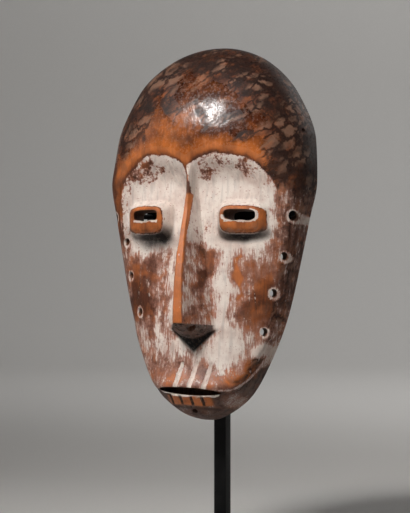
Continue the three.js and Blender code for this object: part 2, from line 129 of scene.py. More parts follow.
class MaskColours(bpy.types.PropertyGroup):
    kaolin: colour("Kaolin", "Thick white clay of the face", "#E6DAD0")
    kaolin_wash: colour("Thin kaolin", "Clay worn so thin that the wood shows through", "#AA7A69")
    ochre: colour("Oiled wood", "Bright orange wood of the brow band, nose ridge and eye rims", "#C87238")
    wood: colour("Wood", "Brown wood of the forehead and the worn cheeks", "#5A2E1A")
    crust: colour("Crust", "Dark crust of oil and smoke", "#1E0F09")
    dapple: colour("Dapple", "Grey-beige islands between the cracks of the crust", "#8B6854")
    # Grey of the undersides: partly dirty, and partly painted shade under the nose, the eyes and the jaw,
    # which face down from the light
    grime_and_shade: colour("Grime", "Grey-purple dirt under the nose, eyes and jaw", "#655550")
    # This colour is painted shade: it darkens the places under the eyes, below the nose and in the lip's
    # notches where shade falls
    painted_shade: colour("Soot", "Black-brown soot caught under the eyes and the nose", "#130D0B")
    raw: colour("Raw wood", "Unoiled wood of the hollow and the holes", "#6A472F")
    steel: colour("Stand", "Black powder coat", "#050506")


def mm(metres):
    return metres / MM


def smoothstep(value, low, high):
    """Rises smoothly from 0 to 1 between two values, or falls where the first of them is the larger."""
    t = np.clip((value - low) / (high - low), 0, 1)
    return t * t * (3 - 2 * t)


def band(value, rise_from, rise_to, fall_from, fall_to):
    """One between two values, and nothing far below and above them."""
    return smoothstep(value, rise_from, rise_to) * smoothstep(value, fall_to, fall_from)


def lerp(a, b, share):
    return a + (b - a) * share


def smooth_curve(table):
    """A smooth curve through a table of (place, value) rows that never swings past them."""
    places, values = np.array(table, float).T
    steps = np.diff(places)
    slopes = np.diff(values) / steps
    tangents = np.concatenate([slopes[:1], np.zeros(len(slopes) - 1), slopes[-1:]])
    for i in range(1, len(slopes)):
        before, after = slopes[i - 1], slopes[i]
        a, b = steps[i - 1], steps[i]
        if before * after > 0:
            tangents[i] = 3 * (a + b) / ((2 * b + a) / before + (b + 2 * a) / after)

    def curve(place):
        at = np.clip(place, places[0], places[-1])
        i = np.clip(np.searchsorted(places, at, side="right") - 1, 0, len(steps) - 1)
        t = (at - places[i]) / steps[i]
        return ((1 + 2 * t) * (1 - t) ** 2 * values[i] + t * (1 - t) ** 2 * steps[i] * tangents[i]
                + t * t * (3 - 2 * t) * values[i + 1] + t * t * (t - 1) * steps[i] * tangents[i + 1])

    return curve


def blended_max(a, b, radius):
    """The larger of two depths, with the inner corner between them rounded."""
    near = np.maximum(radius - np.abs(a - b), 0)
    return np.maximum(a, b) + near * near / (4 * radius)


def facets(x, z, pitch, seed):
    """Shallow scoops, one to a cell of the given pitch: 0 in the middle of each, near 1 on the ridges."""
    spots = np.random.default_rng(seed).random((97, 89, 2)) * 0.8 + 0.1
    column, row = np.floor(x / pitch).astype(int), np.floor(z / pitch).astype(int)
    nearest = np.full(np.shape(x), 9.0)
    for i in (-1, 0, 1):
        for j in (-1, 0, 1):
            spot = spots[(column + i) % 97, (row + j) % 89]
            across = x / pitch - (column + i + spot[..., 0])
            up = z / pitch - (row + j + spot[..., 1])
            nearest = np.minimum(nearest, across * across + up * up)
    return np.minimum(nearest, 1)


WIDTH_ROWS = ((0, 0), (0.024, 0.245), (0.067, 0.425), (0.153, 0.595), (0.28, 0.76), (0.447, 0.881),
              (0.54, 0.94), (0.632, 0.998), (0.742, 0.976), (0.866, 0.796), (0.964, 0.455), (1, 0))
LOWER_FACE_ROWS = ((0, 0), (0.017, 0.49), (0.038, 0.62), (0.062, 0.7), (0.086, 0.755), (0.113, 0.7),
                   (0.144, 0.657), (0.19, 0.67), (0.34, 0.72))
BROW_ROWS = LOWER_FACE_ROWS + ((0.515, 0.75), (0.591, 0.835), (0.643, 0.925), (0.684, 0.975), (0.74, 1),
                               (0.808, 0.953), (0.876, 0.82), (0.931, 0.62), (0.973, 0.385), (1, 0))
FACE_ROWS = LOWER_FACE_ROWS + ((0.515, 0.72), (0.6, 0.73), (0.643, 0.765), (0.684, 0.85), (0.74, 0.96),
                               (1, 1))
CROWN_ROWS = ((0, 2.4), (0.07, 2.8), (0.155, 2.6), (0.3, 2.3), (0.45, 2.7), (0.53, 3.2), (0.6, 3),
              (0.69, 2.4), (0.81, 2.3), (0.91, 2.5), (1, 2.4))
EDGE_ROWS = ((0, 2.8), (0.07, 3.3), (0.155, 3.7), (0.3, 3.8), (0.45, 4.2), (0.53, 4.4), (0.6, 3.9),
             (0.69, 2.8), (0.81, 2.3), (0.91, 2.6), (1, 2.4))
ARCH = {"x": 0.093, "z": 0.55, "half_width": 0.155, "height": 0.158, "fade_from": 0.45}
CREASE = {"start": 1.1, "climb": 0.2, "turn": 24, "fade_from": 0.2, "fade_to": 0.38}
# The carver's hand: the brows meet a little to one side, and the nose's root follows them
BROW_POINT_SHIFT, RIDGE_SHIFT = 6.0, 2.4
BROW_STEP, JAW_STEP, CREASE_GROOVE = 0.9, 2.4, 1.1
SKIRT_ROWS = ((0, 1), (0.21, 0.8), (0.58, 0.45), (1, 0))
RIDGE_ROWS = ((0, 0), (0.2, -0.06), (0.35, 0.16), (0.56, 0.57), (0.8, 0.96), (0.95, 1), (1, 0.96))
NOSE_ROOT, NOSE_THIN_END = 0.68, 0.59
NOSE_FLANK = {"across": 0.55, "out": 0.62}
STRIPE_ROWS = ((-0.1, 0.7), (0.1, 0.95), (0.35, 1), (0.7, 0.8), (1, 0.45))


class Carving:
    """The mask's form. Every place is in millimetres of the mask's own frame."""

    def __init__(self, sizes, stand):
        self.height, self.width = mm(sizes.height), mm(sizes.width)
        self.forehead, self.wall, self.rim = mm(sizes.forehead_depth), mm(sizes.wall), mm(sizes.rim_width)
        self.eye_x, self.eye_z = mm(sizes.eye_spacing) / 2, mm(sizes.eye_height)
        self.slot = (mm(sizes.slot_width) / 2, mm(sizes.slot_height) / 2)
        self.tip_z, self.tip_depth = mm(sizes.nose_tip_height), mm(sizes.nose_depth)
        self.mouth = mm(sizes.mouth_width) / 2
        self.tool_mark = mm(sizes.tool_mark)
        self.lift = mm(stand.plate_thickness) + CHIN_CLEARANCE
        self.half_width = self.along(self.width / 2, WIDTH_ROWS)
        self.brow_depth = self.along(self.forehead, BROW_ROWS)
        self.face_depth = self.along(self.forehead, FACE_ROWS)
        self.crown_power, self.edge_power = smooth_curve(CROWN_ROWS), smooth_curve(EDGE_ROWS)
        self.ridge_rise = smooth_curve(RIDGE_ROWS)
        self.nose_root = NOSE_ROOT * self.height
        self.hollow_top = self.height - self.rim

    def along(self, size, rows):
        squares = smooth_curve([(place, value * value) for place, value in rows])
        return lambda z: size * np.sqrt(np.maximum(0, squares(z / self.height)))

    def standing(self, x, depth, z):
        """Turns places of the mask's frame into metres of the row frame, where it leans on its stand."""
        back = -MASK_FORWARD - depth * math.cos(LEAN) + z * math.sin(LEAN)
        up = self.lift + z * math.cos(LEAN) + depth * math.sin(LEAN)
        return np.stack(np.broadcast_arrays(x, back, up), -1) * MM

    def lying(self, points):
        """Turns metres of the row frame back into x, depth and z of the mask's frame."""
        x, back, up = (points / MM).T
        back, up = back + MASK_FORWARD, up - self.lift
        return x, up * math.sin(LEAN) - back * math.cos(LEAN), up * math.cos(LEAN) + back * math.sin(LEAN)

    def inside_heart(self, x, z):
        x = x + BROW_POINT_SHIFT * smoothstep(z, 160, 200) * smoothstep(np.abs(x), 48, 10)
        across = (np.abs(x) / self.height - ARCH["x"]) / ARCH["half_width"]
        above = np.maximum(0, z / self.height - ARCH["z"]) / ARCH["height"]
        return np.hypot(np.where(above > 0, across, np.maximum(0, across)), above)

    def crease_level(self, x, z):
        past = np.maximum(0, np.abs(x) - CREASE["start"] * self.mouth)
        lift = past * (CREASE["climb"] + past / CREASE["turn"])
        return z - lift * (1 - smoothstep(z / self.height, CREASE["fade_from"], CREASE["fade_to"]))

    def share(self, x, z):
        return np.minimum(1, np.abs(x) / np.maximum(self.half_width(z), 1e-9))

    def plain_depth(self, x, z):
        """How far the carved face stands before the rim, without the eyes, nose and lower lip."""
        level = self.crease_level(x, z)
        reach = self.inside_heart(x, z)
        heart = 1 - smoothstep(reach, ARCH["fade_from"], 1)
        middle = lerp(self.brow_depth(level), self.face_depth(level), heart)
        middle = middle - BROW_STEP * smoothstep(reach, 0.97, 0.91) * smoothstep(z, 165, 180)
        below = smoothstep(level, MOUTH["height"] + 0.4, MOUTH["height"] - 0.9) * smoothstep(level, -2, 14)
        groove = np.exp(-(((level - MOUTH["height"] + 0.8) / 1.1) ** 2))
        middle = middle - (JAW_STEP * below + CREASE_GROOVE * groove) * smoothstep(z / self.height, 0.28, 0.2)
        fall = 1 - self.share(x, z) ** self.crown_power(z / self.height)
        return middle * fall ** (1 / self.edge_power(z / self.height))

    def depth_at(self, x, z):
        """The plain depth of one place."""
        return float(self.plain_depth(np.array(float(x)), np.array(float(z))))

    def eye_spread(self, x, z, side):
        """How far a place lies outside the rounded outline of an eye block."""
        across, up = np.abs(x - side * self.eye_x), np.abs(z - self.eye_z)
        low, high = np.full(np.shape(x), -9.0), np.full(np.shape(x), 400.0)
        for _ in range(24):
            middle = (low + high) / 2
            outside = (across / (EYE_BLOCK["half_width"] + middle)) ** 4
            outside = outside + (up / (EYE_BLOCK["half_height"] + middle)) ** 4 > 1
            low, high = np.where(outside, middle, low), np.where(outside, high, middle)
        return low

    def eye_depth(self, x, z, side, plain):
        spread = self.eye_spread(x, z, side)
        front = self.depth_at(self.eye_x, self.eye_z) + EYE_BLOCK["stand"]
        front = front - (x - side * self.eye_x) * side * math.tan(EYE_TURN)
        front = front + (z - self.eye_z) * math.tan(EYE_DROOP)
        risen = np.interp(spread / EYE_BLOCK["skirt"], *zip(*SKIRT_ROWS))
        worn = EYE_BLOCK["edge"] * np.exp(-((spread / 1.1) ** 2))
        return lerp(plain - self.wall / 2, front, risen) - worn

    def ridge_depth(self, z):
        down = (self.nose_root - z) / (self.nose_root - self.tip_z)
        return lerp(self.depth_at(0, self.nose_root), self.tip_depth, self.ridge_rise(down))

    def nose_widening(self, z):
        thin_end = NOSE_THIN_END * self.height
        return np.maximum(0, (thin_end - np.maximum(z, self.tip_z)) / (thin_end - self.tip_z))

    def ridge_shift(self, z):
        return np.interp(z, (self.tip_z, self.tip_z + 55), (0, RIDGE_SHIFT))

    def nose_depth(self, x, z):
        """The wedge of the nose: a flat ridge, two flanks, and an underside that falls back to the foot."""
        across = np.abs(x + self.ridge_shift(z))
        widening = self.nose_widening(z)
        ridge = lerp(NOSE["root_half"], NOSE["tip_half"], widening)
        wing = lerp(NOSE["wing_root"], NOSE["wing_half"], widening)
        wing_z = NOSE["foot"] + NOSE["wing_rise"]
        base = self.plain_depth(wing, np.maximum(z, wing_z))
        top = self.ridge_depth(np.maximum(z, self.tip_z))
        flank, flank_depth = lerp(ridge, wing, NOSE_FLANK["across"]), lerp(top, base, NOSE_FLANK["out"])
        upper = lerp(top, flank_depth, np.clip((across - ridge) / (flank - ridge), 0, 1))
        depth = np.where(across < flank, upper, lerp(flank_depth, base, (across - flank) / (wing - flank)))
        edge_z = np.interp(across, (NOSE["tip_half"], NOSE["wing_half"]), (self.tip_z, wing_z))
        belly = NOSE_BELLY["across"] * NOSE["wing_half"]
        belly_z = NOSE["foot"] + NOSE_BELLY["rise"] * NOSE["wing_rise"]
        foot_z = np.interp(across, (0, belly, NOSE["wing_half"]), (NOSE["foot"], belly_z, wing_z - 0.5))
        under = np.clip((z - foot_z) / (edge_z - foot_z), 0, 1)
        sunk = self.plain_depth(x, z) - self.wall / 2
        depth = lerp(sunk, depth, under)
        return np.where((z > self.nose_root) | (across > 1.25 * wing), sunk, depth)

    def mouth_line(self, x):
        return MOUTH["height"] - MOUTH["tilt"] * (x - MOUTH["shift"])

    def from_notch(self, x):
        """How far a place lies to the side of the nearest notch of the lower lip."""
        place = (x / LIP_NOTCH["spacing"] + LIP_NOTCH["count"] / 2 - 0.5) % 1
        return np.minimum(place, 1 - place) * LIP_NOTCH["spacing"]

    def lip_depth(self, x, z, plain):
        full = np.sqrt(np.maximum(0, 1 - ((x - MOUTH["shift"]) / LOWER_LIP["half_width"]) ** 2))
        top = self.mouth_line(x) - MOUTH["half_opening"] + LOWER_LIP["overlap"]
        down = (top - z) / (LOWER_LIP["thickness"] * np.maximum(full, 0.14))
        out = np.interp(down, (-0.05, 0, 0.5, 0.94, 1.06), (0, 0.7, 1, 0.3, 0)) * LOWER_LIP["stand"] * full
        beside = self.from_notch(x) - LIP_NOTCH["width"] / 2
        in_row = np.abs(x) < LIP_NOTCH["spacing"] * LIP_NOTCH["count"] / 2
        notch = np.where(in_row, 1 - smoothstep(beside, -0.3, 0.4), 0)
        return plain + out - np.minimum(notch * LIP_NOTCH["depth"], out)

    def stripe(self, x, z):
        """The grooves of the upper lip: how deep each place lies in one, as a share of the full groove."""
        share = (z - MOUTH["height"] - MOUTH["half_opening"]) / LIP_STRIPE["length"]
        half = LIP_STRIPE["half_width"] * np.interp(share, *zip(*STRIPE_ROWS))
        along = smoothstep(share, 1.0, 0.9) * (share > -0.3)
        deep = np.zeros(np.shape(x))
        for index in range(LIP_STRIPE["count"]):
            middle = (index - (LIP_STRIPE["count"] - 1) / 2) * LIP_STRIPE["spacing"]
            off = np.abs(x - (middle + share * LIP_STRIPE["lean"]))
            rounded = 1 - 0.5 * np.minimum(1, off / half)
            deep = np.maximum(deep, smoothstep(off, half + 0.25, half - 0.25) * rounded)
        return deep * along

    def hole_place(self, side, inset, height):
        x = side * (self.half_width(height) - inset)
        return np.array([x, self.depth_at(x, height), height])

    def side_holes(self):
        """Every drilled hole of the edge: its place on the surface, its side and its radius."""
        holes = [(side, *place, CORD_HOLE_RADIUS) for side in CORD_HOLES for place in CORD_HOLES[side]]
        holes += [(side, hole["inset"], hole["height"], hole["radius"])
                  for side in (-1, 1) for hole in (PEG_HOLE, SMALL_HOLE)]
        return [(self.hole_place(*place), place[0], radius) for *place, radius in holes]

    def front_depth(self, x, z):
        """The whole carved front, with its tool marks and the worn lips of its holes."""
        plain = self.plain_depth(x, z)
        calm = smoothstep(self.share(x, z), 0.995, 0.9)
        fine = facets(x * 1.1 + 0.3 * z, z * 0.8, pitch=8, seed=11)
        fine = fine + 0.4 * facets(x * 1.2, z * 0.7, pitch=5, seed=5)
        worn_smooth = lerp(1, 0.45, smoothstep(z / self.height, 0.68, 0.74))
        plain = plain - calm * worn_smooth * self.tool_mark * (fine - 0.35)
        depth = self.lip_depth(x, z, plain) - LIP_STRIPE["depth"] * self.stripe(x, z)
        for side in (-1, 1):
            depth = blended_max(depth, self.eye_depth(x, z, side, plain), radius=1.2)
        depth = blended_max(depth, self.nose_depth(x, z), radius=0.8)
        for place, side, radius in self.side_holes():
            off = np.hypot((x - place[0]) / math.cos(HOLE_TURN), z - place[2]) / radius
            depth = depth - calm * 0.5 * np.exp(-((off / 1.25) ** 4))
        return np.maximum(depth, 0)

    def hollow_fade(self, z):
        from_chin, from_top = z - CHIN_RIM, self.hollow_top - z
        inside = np.minimum(from_chin / HOLLOW_ROUND["chin"], from_top / HOLLOW_ROUND["top"])
        inside = np.clip(inside, 0, 1)
        return inside * (2 - inside)

    def hollow_half_width(self, z):
        return (self.half_width(z) - self.rim) * np.sqrt(self.hollow_fade(z))

    def hollow_depth(self, x, z):
        share = np.minimum(1, np.abs(x) / np.maximum(self.hollow_half_width(z), 1e-9))
        middle = np.maximum(0, np.minimum(self.brow_depth(z), self.face_depth(z)) - self.wall)
        middle = middle * self.hollow_fade(z)
        scoops = 3.2 * self.tool_mark * (facets(x, z * 0.7, pitch=13, seed=23) - 0.4)
        return np.maximum(0, middle * (1 - share ** 3) ** (1 / 3) - scoops * smoothstep(share, 1, 0.85))


def new_object(name, points, faces):
    """An object in the scene, with a mesh of its own."""
    mesh = bpy.data.meshes.new(name)
    mesh.from_pydata([tuple(point) for point in points], [], faces)
    piece = bpy.data.objects.new(name, mesh)
    bpy.context.scene.collection.objects.link(piece)
    return piece


def finish_mesh(mesh, material, smooth_angle):
    """Gives a mesh its material, and shades it smooth up to an angle in degrees."""
    mesh.materials.clear()
    mesh.materials.append(material)
    mesh.validate()
    mesh.shade_smooth()
    mesh.set_sharp_from_angle(angle=math.radians(smooth_angle))


def closed_rings(rings):
    """Points and faces of a closed solid through rings with as many points each."""
    count = len(rings[0])
    points = np.concatenate([*rings, [rings[0].mean(0)], [rings[-1].mean(0)]])
    first, last = len(points) - 2, len(points) - 1
    a = (np.arange(len(rings) - 1)[:, None] * count + np.arange(count)).ravel()
    b = (np.arange(len(rings) - 1)[:, None] * count + (np.arange(count) + 1) % count).ravel()
    faces = np.stack([a, b, b + count, a + count], -1).tolist()
    end = (len(rings) - 1) * count
    for i in range(count):
        following = (i + 1) % count
        faces += [[first, following, i], [last, end + i, end + following]]
    return points, faces


def joined_solids(solids):
    """Several closed solids as one list of points and one of faces."""
    points, faces, start = [], [], 0
    for solid_points, solid_faces in solids:
        points.append(solid_points)
        faces += [[i + start for i in face] for face in solid_faces]
        start += len(solid_points)
    return np.concatenate(points), faces


def bare_object(name, points, faces):
    """A closed solid with its faces turned outwards, to be cut."""
    piece = new_object(name, points, faces)
    whole = bmesh.new()
    whole.from_mesh(piece.data)
    bmesh.ops.recalc_face_normals(whole, faces=whole.faces)
    whole.to_mesh(piece.data)
    whole.free()
    return piece


def cut_away(block, cutter):
    """Cuts one object out of another and removes the cutter."""
    modifier = block.modifiers.new("cut", "BOOLEAN")
    modifier.operation, modifier.solver, modifier.object = "DIFFERENCE", "MANIFOLD", cutter
    graph = bpy.context.evaluated_depsgraph_get()
    cut = bpy.data.meshes.new_from_object(block.evaluated_get(graph))
    block.modifiers.clear()
    old, block.data = block.data, cut
    bpy.data.meshes.remove(old)
    bpy.data.meshes.remove(cutter.data)


def levels(spacing_rows):
    """Heights from one end to the other, whose spacing follows a table of (height, spacing) rows."""
    heights, spacings = np.array(spacing_rows, float).T
    fine = np.linspace(heights[0], heights[-1], 4000)
    run = np.concatenate([[0], np.cumsum(np.diff(fine) / np.interp(fine[1:], heights, spacings))])
    return np.interp(np.linspace(0, run[-1], int(run[-1]) + 2), run, fine)


# Closer rows where the carving is finest: the lips, the nose's underside and the eyes
FRONT_ROWS = ((0.12, 0.4), (8, 0.7), (24, 0.56), (45, 0.7), (75, 0.72), (90, 1.3), (130, 1.1), (138, 0.66),
              (168, 0.66), (180, 1.2), (270, 1.4), (288, 0.6), (290.88, 0.25))
FRONT_ROWS_HEIGHT, FRONT_COLUMNS = 291, 250
HOLLOW_GRID = {"rows": 110, "columns": 70}
# How far the hollow's cutter reaches behind the rim, and the rings along a cut, whose wall the paint darkens
CUTTER_REACH, RING_STEP = 60, 1.5


def edge_to_edge(count, crowding):
    """Places across from -1 to 1, crowded towards both ends."""
    even = np.linspace(-1, 1, count + 1)
    return lerp(even, np.sin(math.pi / 2 * even), crowding)


def carved_block(form):
    stretch = form.height / FRONT_ROWS_HEIGHT
    heights = levels([(z * stretch, spacing) for z, spacing in FRONT_ROWS])
    across = edge_to_edge(FRONT_COLUMNS, crowding=0.34)
    z = np.repeat(heights[:, None], len(across), 1)
    x = across * form.half_width(z)
    depth = form.front_depth(x, z)
    depth[:, 0] = depth[:, -1] = 0
    return closed_rings(list(form.standing(x, depth, z)))


def hollow_block(form):
    even = np.linspace(0.002, 0.998, HOLLOW_GRID["rows"])
    heights = lerp(CHIN_RIM, form.hollow_top, lerp(even, (1 - np.cos(math.pi * even)) / 2, 0.6))
    across = edge_to_edge(HOLLOW_GRID["columns"], crowding=0.7)
    rings = []
    for z in heights:
        edge = form.hollow_half_width(z)
        x = across * edge
        depth = form.hollow_depth(x, np.full(x.shape, z))
        depth[[0, -1]] = 0
        rings.append(form.standing(np.append(x, [edge, -edge]), np.append(depth, [-CUTTER_REACH] * 2), z))
    return closed_rings(rings)


def rounded_outline(middle, half, power):
    """The places along a rounded rectangle."""
    angle = np.linspace(0, 2 * math.pi, 72, endpoint=False)
    bend = lambda value: np.sign(value) * np.abs(value) ** (2 / power)
    return middle[0] + half[0] * bend(np.cos(angle)), middle[1] + half[1] * bend(np.sin(angle))


def eye_slot(form, side):
    """A slot cut straight back through the eye, with a slightly wavy lower edge."""
    x, z = rounded_outline((side * form.eye_x, form.eye_z + SLOT_RISE), form.slot, SLOT_POWER)
    lower = smoothstep(form.eye_z + SLOT_RISE - z, 0, form.slot[1])
    z = z + lower * 0.35 * np.sin((x - side * form.eye_x) * 0.55 + side)
    front = form.depth_at(form.eye_x, form.eye_z) + 2 * EYE_BLOCK["stand"]
    depths = [front, *np.arange(front - 6, front - 34, -RING_STEP), -2]
    return closed_rings([form.standing(x, np.full(x.shape, depth), z) for depth in depths])


def mouth_slot(form):
    share = np.linspace(-1, 1, 61)
    arch = MOUTH["half_opening"] * np.sqrt(1 - share ** 2)
    x_ring = form.mouth * np.append(share, share[-2:0:-1]) + MOUTH["shift"]
    z_ring = form.mouth_line(x_ring) + np.append(arch, -MOUTH["sag"] * arch[-2:0:-1])
    back = float(form.face_depth(MOUTH["height"])) - MOUTH["recess"]
    depths = [2 * form.forehead, *np.arange(form.forehead, back, -RING_STEP), back]
    return closed_rings([form.standing(x_ring, np.full(x_ring.shape, depth), z_ring) for depth in depths])


def square_to(direction):
    """A direction at right angles to another."""
    return np.cross(direction, (0, 0, 1.0) if abs(direction[2]) < 0.9 else (1.0, 0, 0))


def round_ring(along, first, sides):
    """Points of a circle of radius one round a direction, from the one that is first."""
    first = first / np.linalg.norm(first)
    angle = np.linspace(0, 2 * math.pi, sides, endpoint=False)[:, None]
    return np.cos(angle) * first + np.sin(angle) * np.cross(along, first)


def drilled(form, place, direction, back, ahead, radius, sides=32):
    """A round hole through a place of the mask's frame, with rings along it so that its wall can darken."""
    direction = np.array(direction) / np.linalg.norm(direction)
    ring = radius * round_ring(direction, square_to(direction), sides)
    steps = np.linspace(-back, ahead, max(3, int((back + ahead) / 1.6)))
    return closed_rings([form.standing(*(place + step * direction + ring).T) for step in steps])


def all_openings(form):
    solids = [eye_slot(form, -1), eye_slot(form, 1), mouth_slot(form)]
    for place, side, radius in form.side_holes():
        outward = (side * math.sin(HOLE_TURN), math.cos(HOLE_TURN), 0)
        solids.append(drilled(form, place, outward, 2.6 * form.wall, 1.5 * form.wall, radius))
    for side in (-1, 1):
        under = lerp(NOSE["foot"], form.tip_z, 0.5) - 1
        out = lerp(form.depth_at(0, NOSE["foot"]), form.tip_depth, 0.55)
        place = np.array([side * NOSTRIL["spread"], out, under])
        solids.append(drilled(form, place, (0, 0, 1), 4, NOSTRIL["depth"], NOSTRIL["radius"]))
    chin = np.array([0, form.depth_at(0, CHIN_HOLE["height"]), CHIN_HOLE["height"]])
    inwards = (0, -1, CHIN_HOLE["rise"])
    solids.append(drilled(form, chin, inwards, form.wall, 1.75 * CHIN_RIM, CHIN_HOLE["radius"]))
    return joined_solids(solids)


# Where the surface is worn, painted or dark, as soft ovals in millimetres of the mask's frame, seen from
# the front: (x, z, half width, half height, lean in degrees, amount)
CLAY_PATCHES = (
    (-48, 188, 24, 9, 8, -0.48), (-60, 172, 6, 12, 0, -0.4), (-44, 172, 12, 3.5, 0, -0.3),
    (22, 195, 30, 8, -4, -0.3), (8, 187, 8, 7, 0, -0.3), (9, 148, 4, 14, 0, -0.36),
    (44, 190, 12, 5, -20, -0.3), (60, 182, 6, 10, -10, -0.45), (12, 138, 7, 30, 0, -0.3),
    (-45, 168, 18, 8, 0, 0.4), (34, 171, 26, 8, 0, 0.4), (34, 138, 27, 6, 4, 0.5),
    (-50, 134, 17, 6, -24, 0.5), (24, 108, 7, 50, 0, 0.5), (-17, 100, 3.2, 44, 3, 0.6),
    (-12, 150, 5, 26, 4, 0.4), (12, 158, 6, 22, 0, 0.4), (9, 104, 5, 30, -6, -0.3),
    (5, 98, 2.6, 18, -4, 0.4), (-45, 106, 17, 26, 0, -0.34), (-30, 84, 3, 9, 0, 0.3),
    (-54, 88, 7, 18, 0, -0.3), (-60, 140, 6, 16, 0, -0.25), (52, 112, 15, 22, 0, -0.24),
    (36, 112, 2.6, 24, 0, -0.4), (46, 82, 13, 16, 0, -0.34), (58, 92, 9, 16, 0, -0.26),
    (28, 53, 13, 16, -20, 0.8), (50, 52, 4, 7, 0, 0.8), (63, 78, 2.6, 12, 0, 0.6),
    (-28, 60, 4.5, 10, 12, 0.65), (-46, 66, 4, 12, 10, 0.3), (-42, 78, 9, 16, 0, -0.2),
    (-74, 196, 8, 12, -30, -0.8), (70, 196, 9, 10, 30, -0.8), (-11, 55, 11, 7, 0, 0.5),
    (10, 50, 12, 8, 0, 0.4), (-32, 44, 14, 5, 0, -0.1), (66, 138, 6, 22, 0, -0.1),
    (66, 158, 6, 12, 0, -0.2), (46, 38, 20, 7, 38, -0.6), (25, 38, 5, 5, 0, 1.2),
    (24, 84, 3.4, 30, -4, 0.5), (34, 78, 2.2, 22, 0, 0.3),
)
OCHRE_PATCHES = (
    (-16, 31, 17, 8, 0, 0.85), (26, 31, 13, 7, 20, 0.8), (42, 38, 16, 7, 36, 0.7), (36, 112, 3, 26, 0, 0.8),
    (50, 112, 14, 18, 0, 0.45), (48, 72, 10, 16, 0, 0.5), (-20, 224, 30, 14, 0, 0.6),
    (4, 262, 9, 6, 0, 0.6), (55, 208, 14, 10, 0, 0.45), (-6, 14, 18, 5, 0, 0.75), (-72, 165, 6, 40, 0, 0.3),
    (-48, 110, 6, 18, 0, 0.3), (-5, 187, 4, 14, 12, 0.4),
)
CRUST_PATCHES = (
    (0, 250, 90, 34, 0, 0.26), (45, 214, 13, 5, 12, 0.62), (70, 190, 15, 22, 0, 1.2),
    (72, 222, 15, 28, 0, 0.95), (58, 250, 22, 18, -30, 0.85), (-50, 238, 16, 26, 0, 0.6),
    (-22, 244, 7, 18, 20, 0.5), (8, 232, 4, 14, 36, 0.4), (30, 228, 12, 4, 24, 0.5),
    (-60, 214, 8, 10, 0, 0.2), (10, 221, 6, 3, 0, 0.25), (-66, 226, 10, 26, 14, 0.5),
    (0, 284, 80, 16, 0, 1.0), (30, 268, 46, 14, -14, 0.8), (-42, 266, 30, 14, 24, 0.8),
    (69, 152, 7, 18, 0, 0.45), (42, 37, 13, 4, 36, 0.3), (30, 30, 8, 2, 10, 0.3), (72, 118, 6, 20, 0, 0.3),
    (66, 60, 14, 30, -30, 0.3), (10, 268, 12, 4, 30, 0.35),
)
# Painted shadow under the eye blocks, where the blocks cast shade on the cheeks
PAINTED_SHADE_PATCHES = (
    (-35, 137, 17, 9, -4, 0.95), (-24, 142, 6, 8, 0, 0.4), (41, 140, 20, 5, 4, 1.0),
)
JAW_PALE_PATCHES = (
    (32, 13, 9, 8, 0, 0.9), (-8, 5, 8, 4, 0, 0.6), (46, 26, 6, 6, 30, 0.7), (12, 8, 5, 5, 0, 0.5),
)


def patches(x, z, rows):
    """The sum of soft ovals at each place."""
    total = np.zeros(np.shape(x))
    for centre_x, centre_z, half_x, half_z, lean, amount in rows:
        turn = math.radians(lean)
        across, up = x - centre_x, z - centre_z
        u = (across * math.cos(turn) + up * math.sin(turn)) / half_x
        v = (up * math.cos(turn) - across * math.sin(turn)) / half_z
        total = total + amount * smoothstep(np.hypot(u, v), 1.45, 0.3)
    return total


def wandering(x, z, reach):
    """Places pushed about by up to the reach, so that no painted edge is a plain curve."""
    push = np.sin(z / 5.3 + 1.6 * np.sin(x / 7.9)) + 0.6 * np.sin(z / 2.3 + x / 3.1 + 1.0)
    lift = np.sin(x / 4.7 + 1.4 * np.sin(z / 8.3 + 2.0)) + 0.6 * np.sin(x / 2.1 - z / 3.7)
    return x + reach * push / 1.6, z + reach * lift / 1.6


def nose_marks(form, x, z, risen):
    """The bright ridge of the nose, the white and the dark beside it, the painted shadow the nose casts below
    its tip, and the grey of its underside, partly dirty and partly painted shade.
    """
    middle = x + form.ridge_shift(z)
    ridge = lerp(2 * NOSE["root_half"], NOSE["tip_half"], form.nose_widening(z))
    on_ridge = smoothstep(np.abs(middle) - ridge, 0.5, -0.1) * smoothstep(z, form.tip_z - 2, form.tip_z)
    on_ridge = on_ridge * smoothstep(z, 0.592 * form.height, 0.582 * form.height)
    right, left = -middle - ridge, middle - ridge
    white = band(right, 0.1, 0.7, 2.8, 4.6) * band(z, 60, 72, 160, 172)
    dark = band(left, 0, 0.6, 1.5, 4.5) * smoothstep(z, 140, 120) * (z > form.tip_z)
    # The painted shadow that the nose casts below its tip, and the grey of its underside, partly dirty and
    # partly painted shade
    shade = smoothstep(z - 50.5 - 0.88 * np.abs(x - 1), -1.0, 2.2) * smoothstep(z, 70, 66)
    shade = shade * smoothstep(risen, 3.2, 1.2)
    under = (z < form.tip_z) * (z > NOSE["foot"] - 2) * smoothstep(risen, 0.6, 2.5)
    return on_ridge, white, dark, shade, under


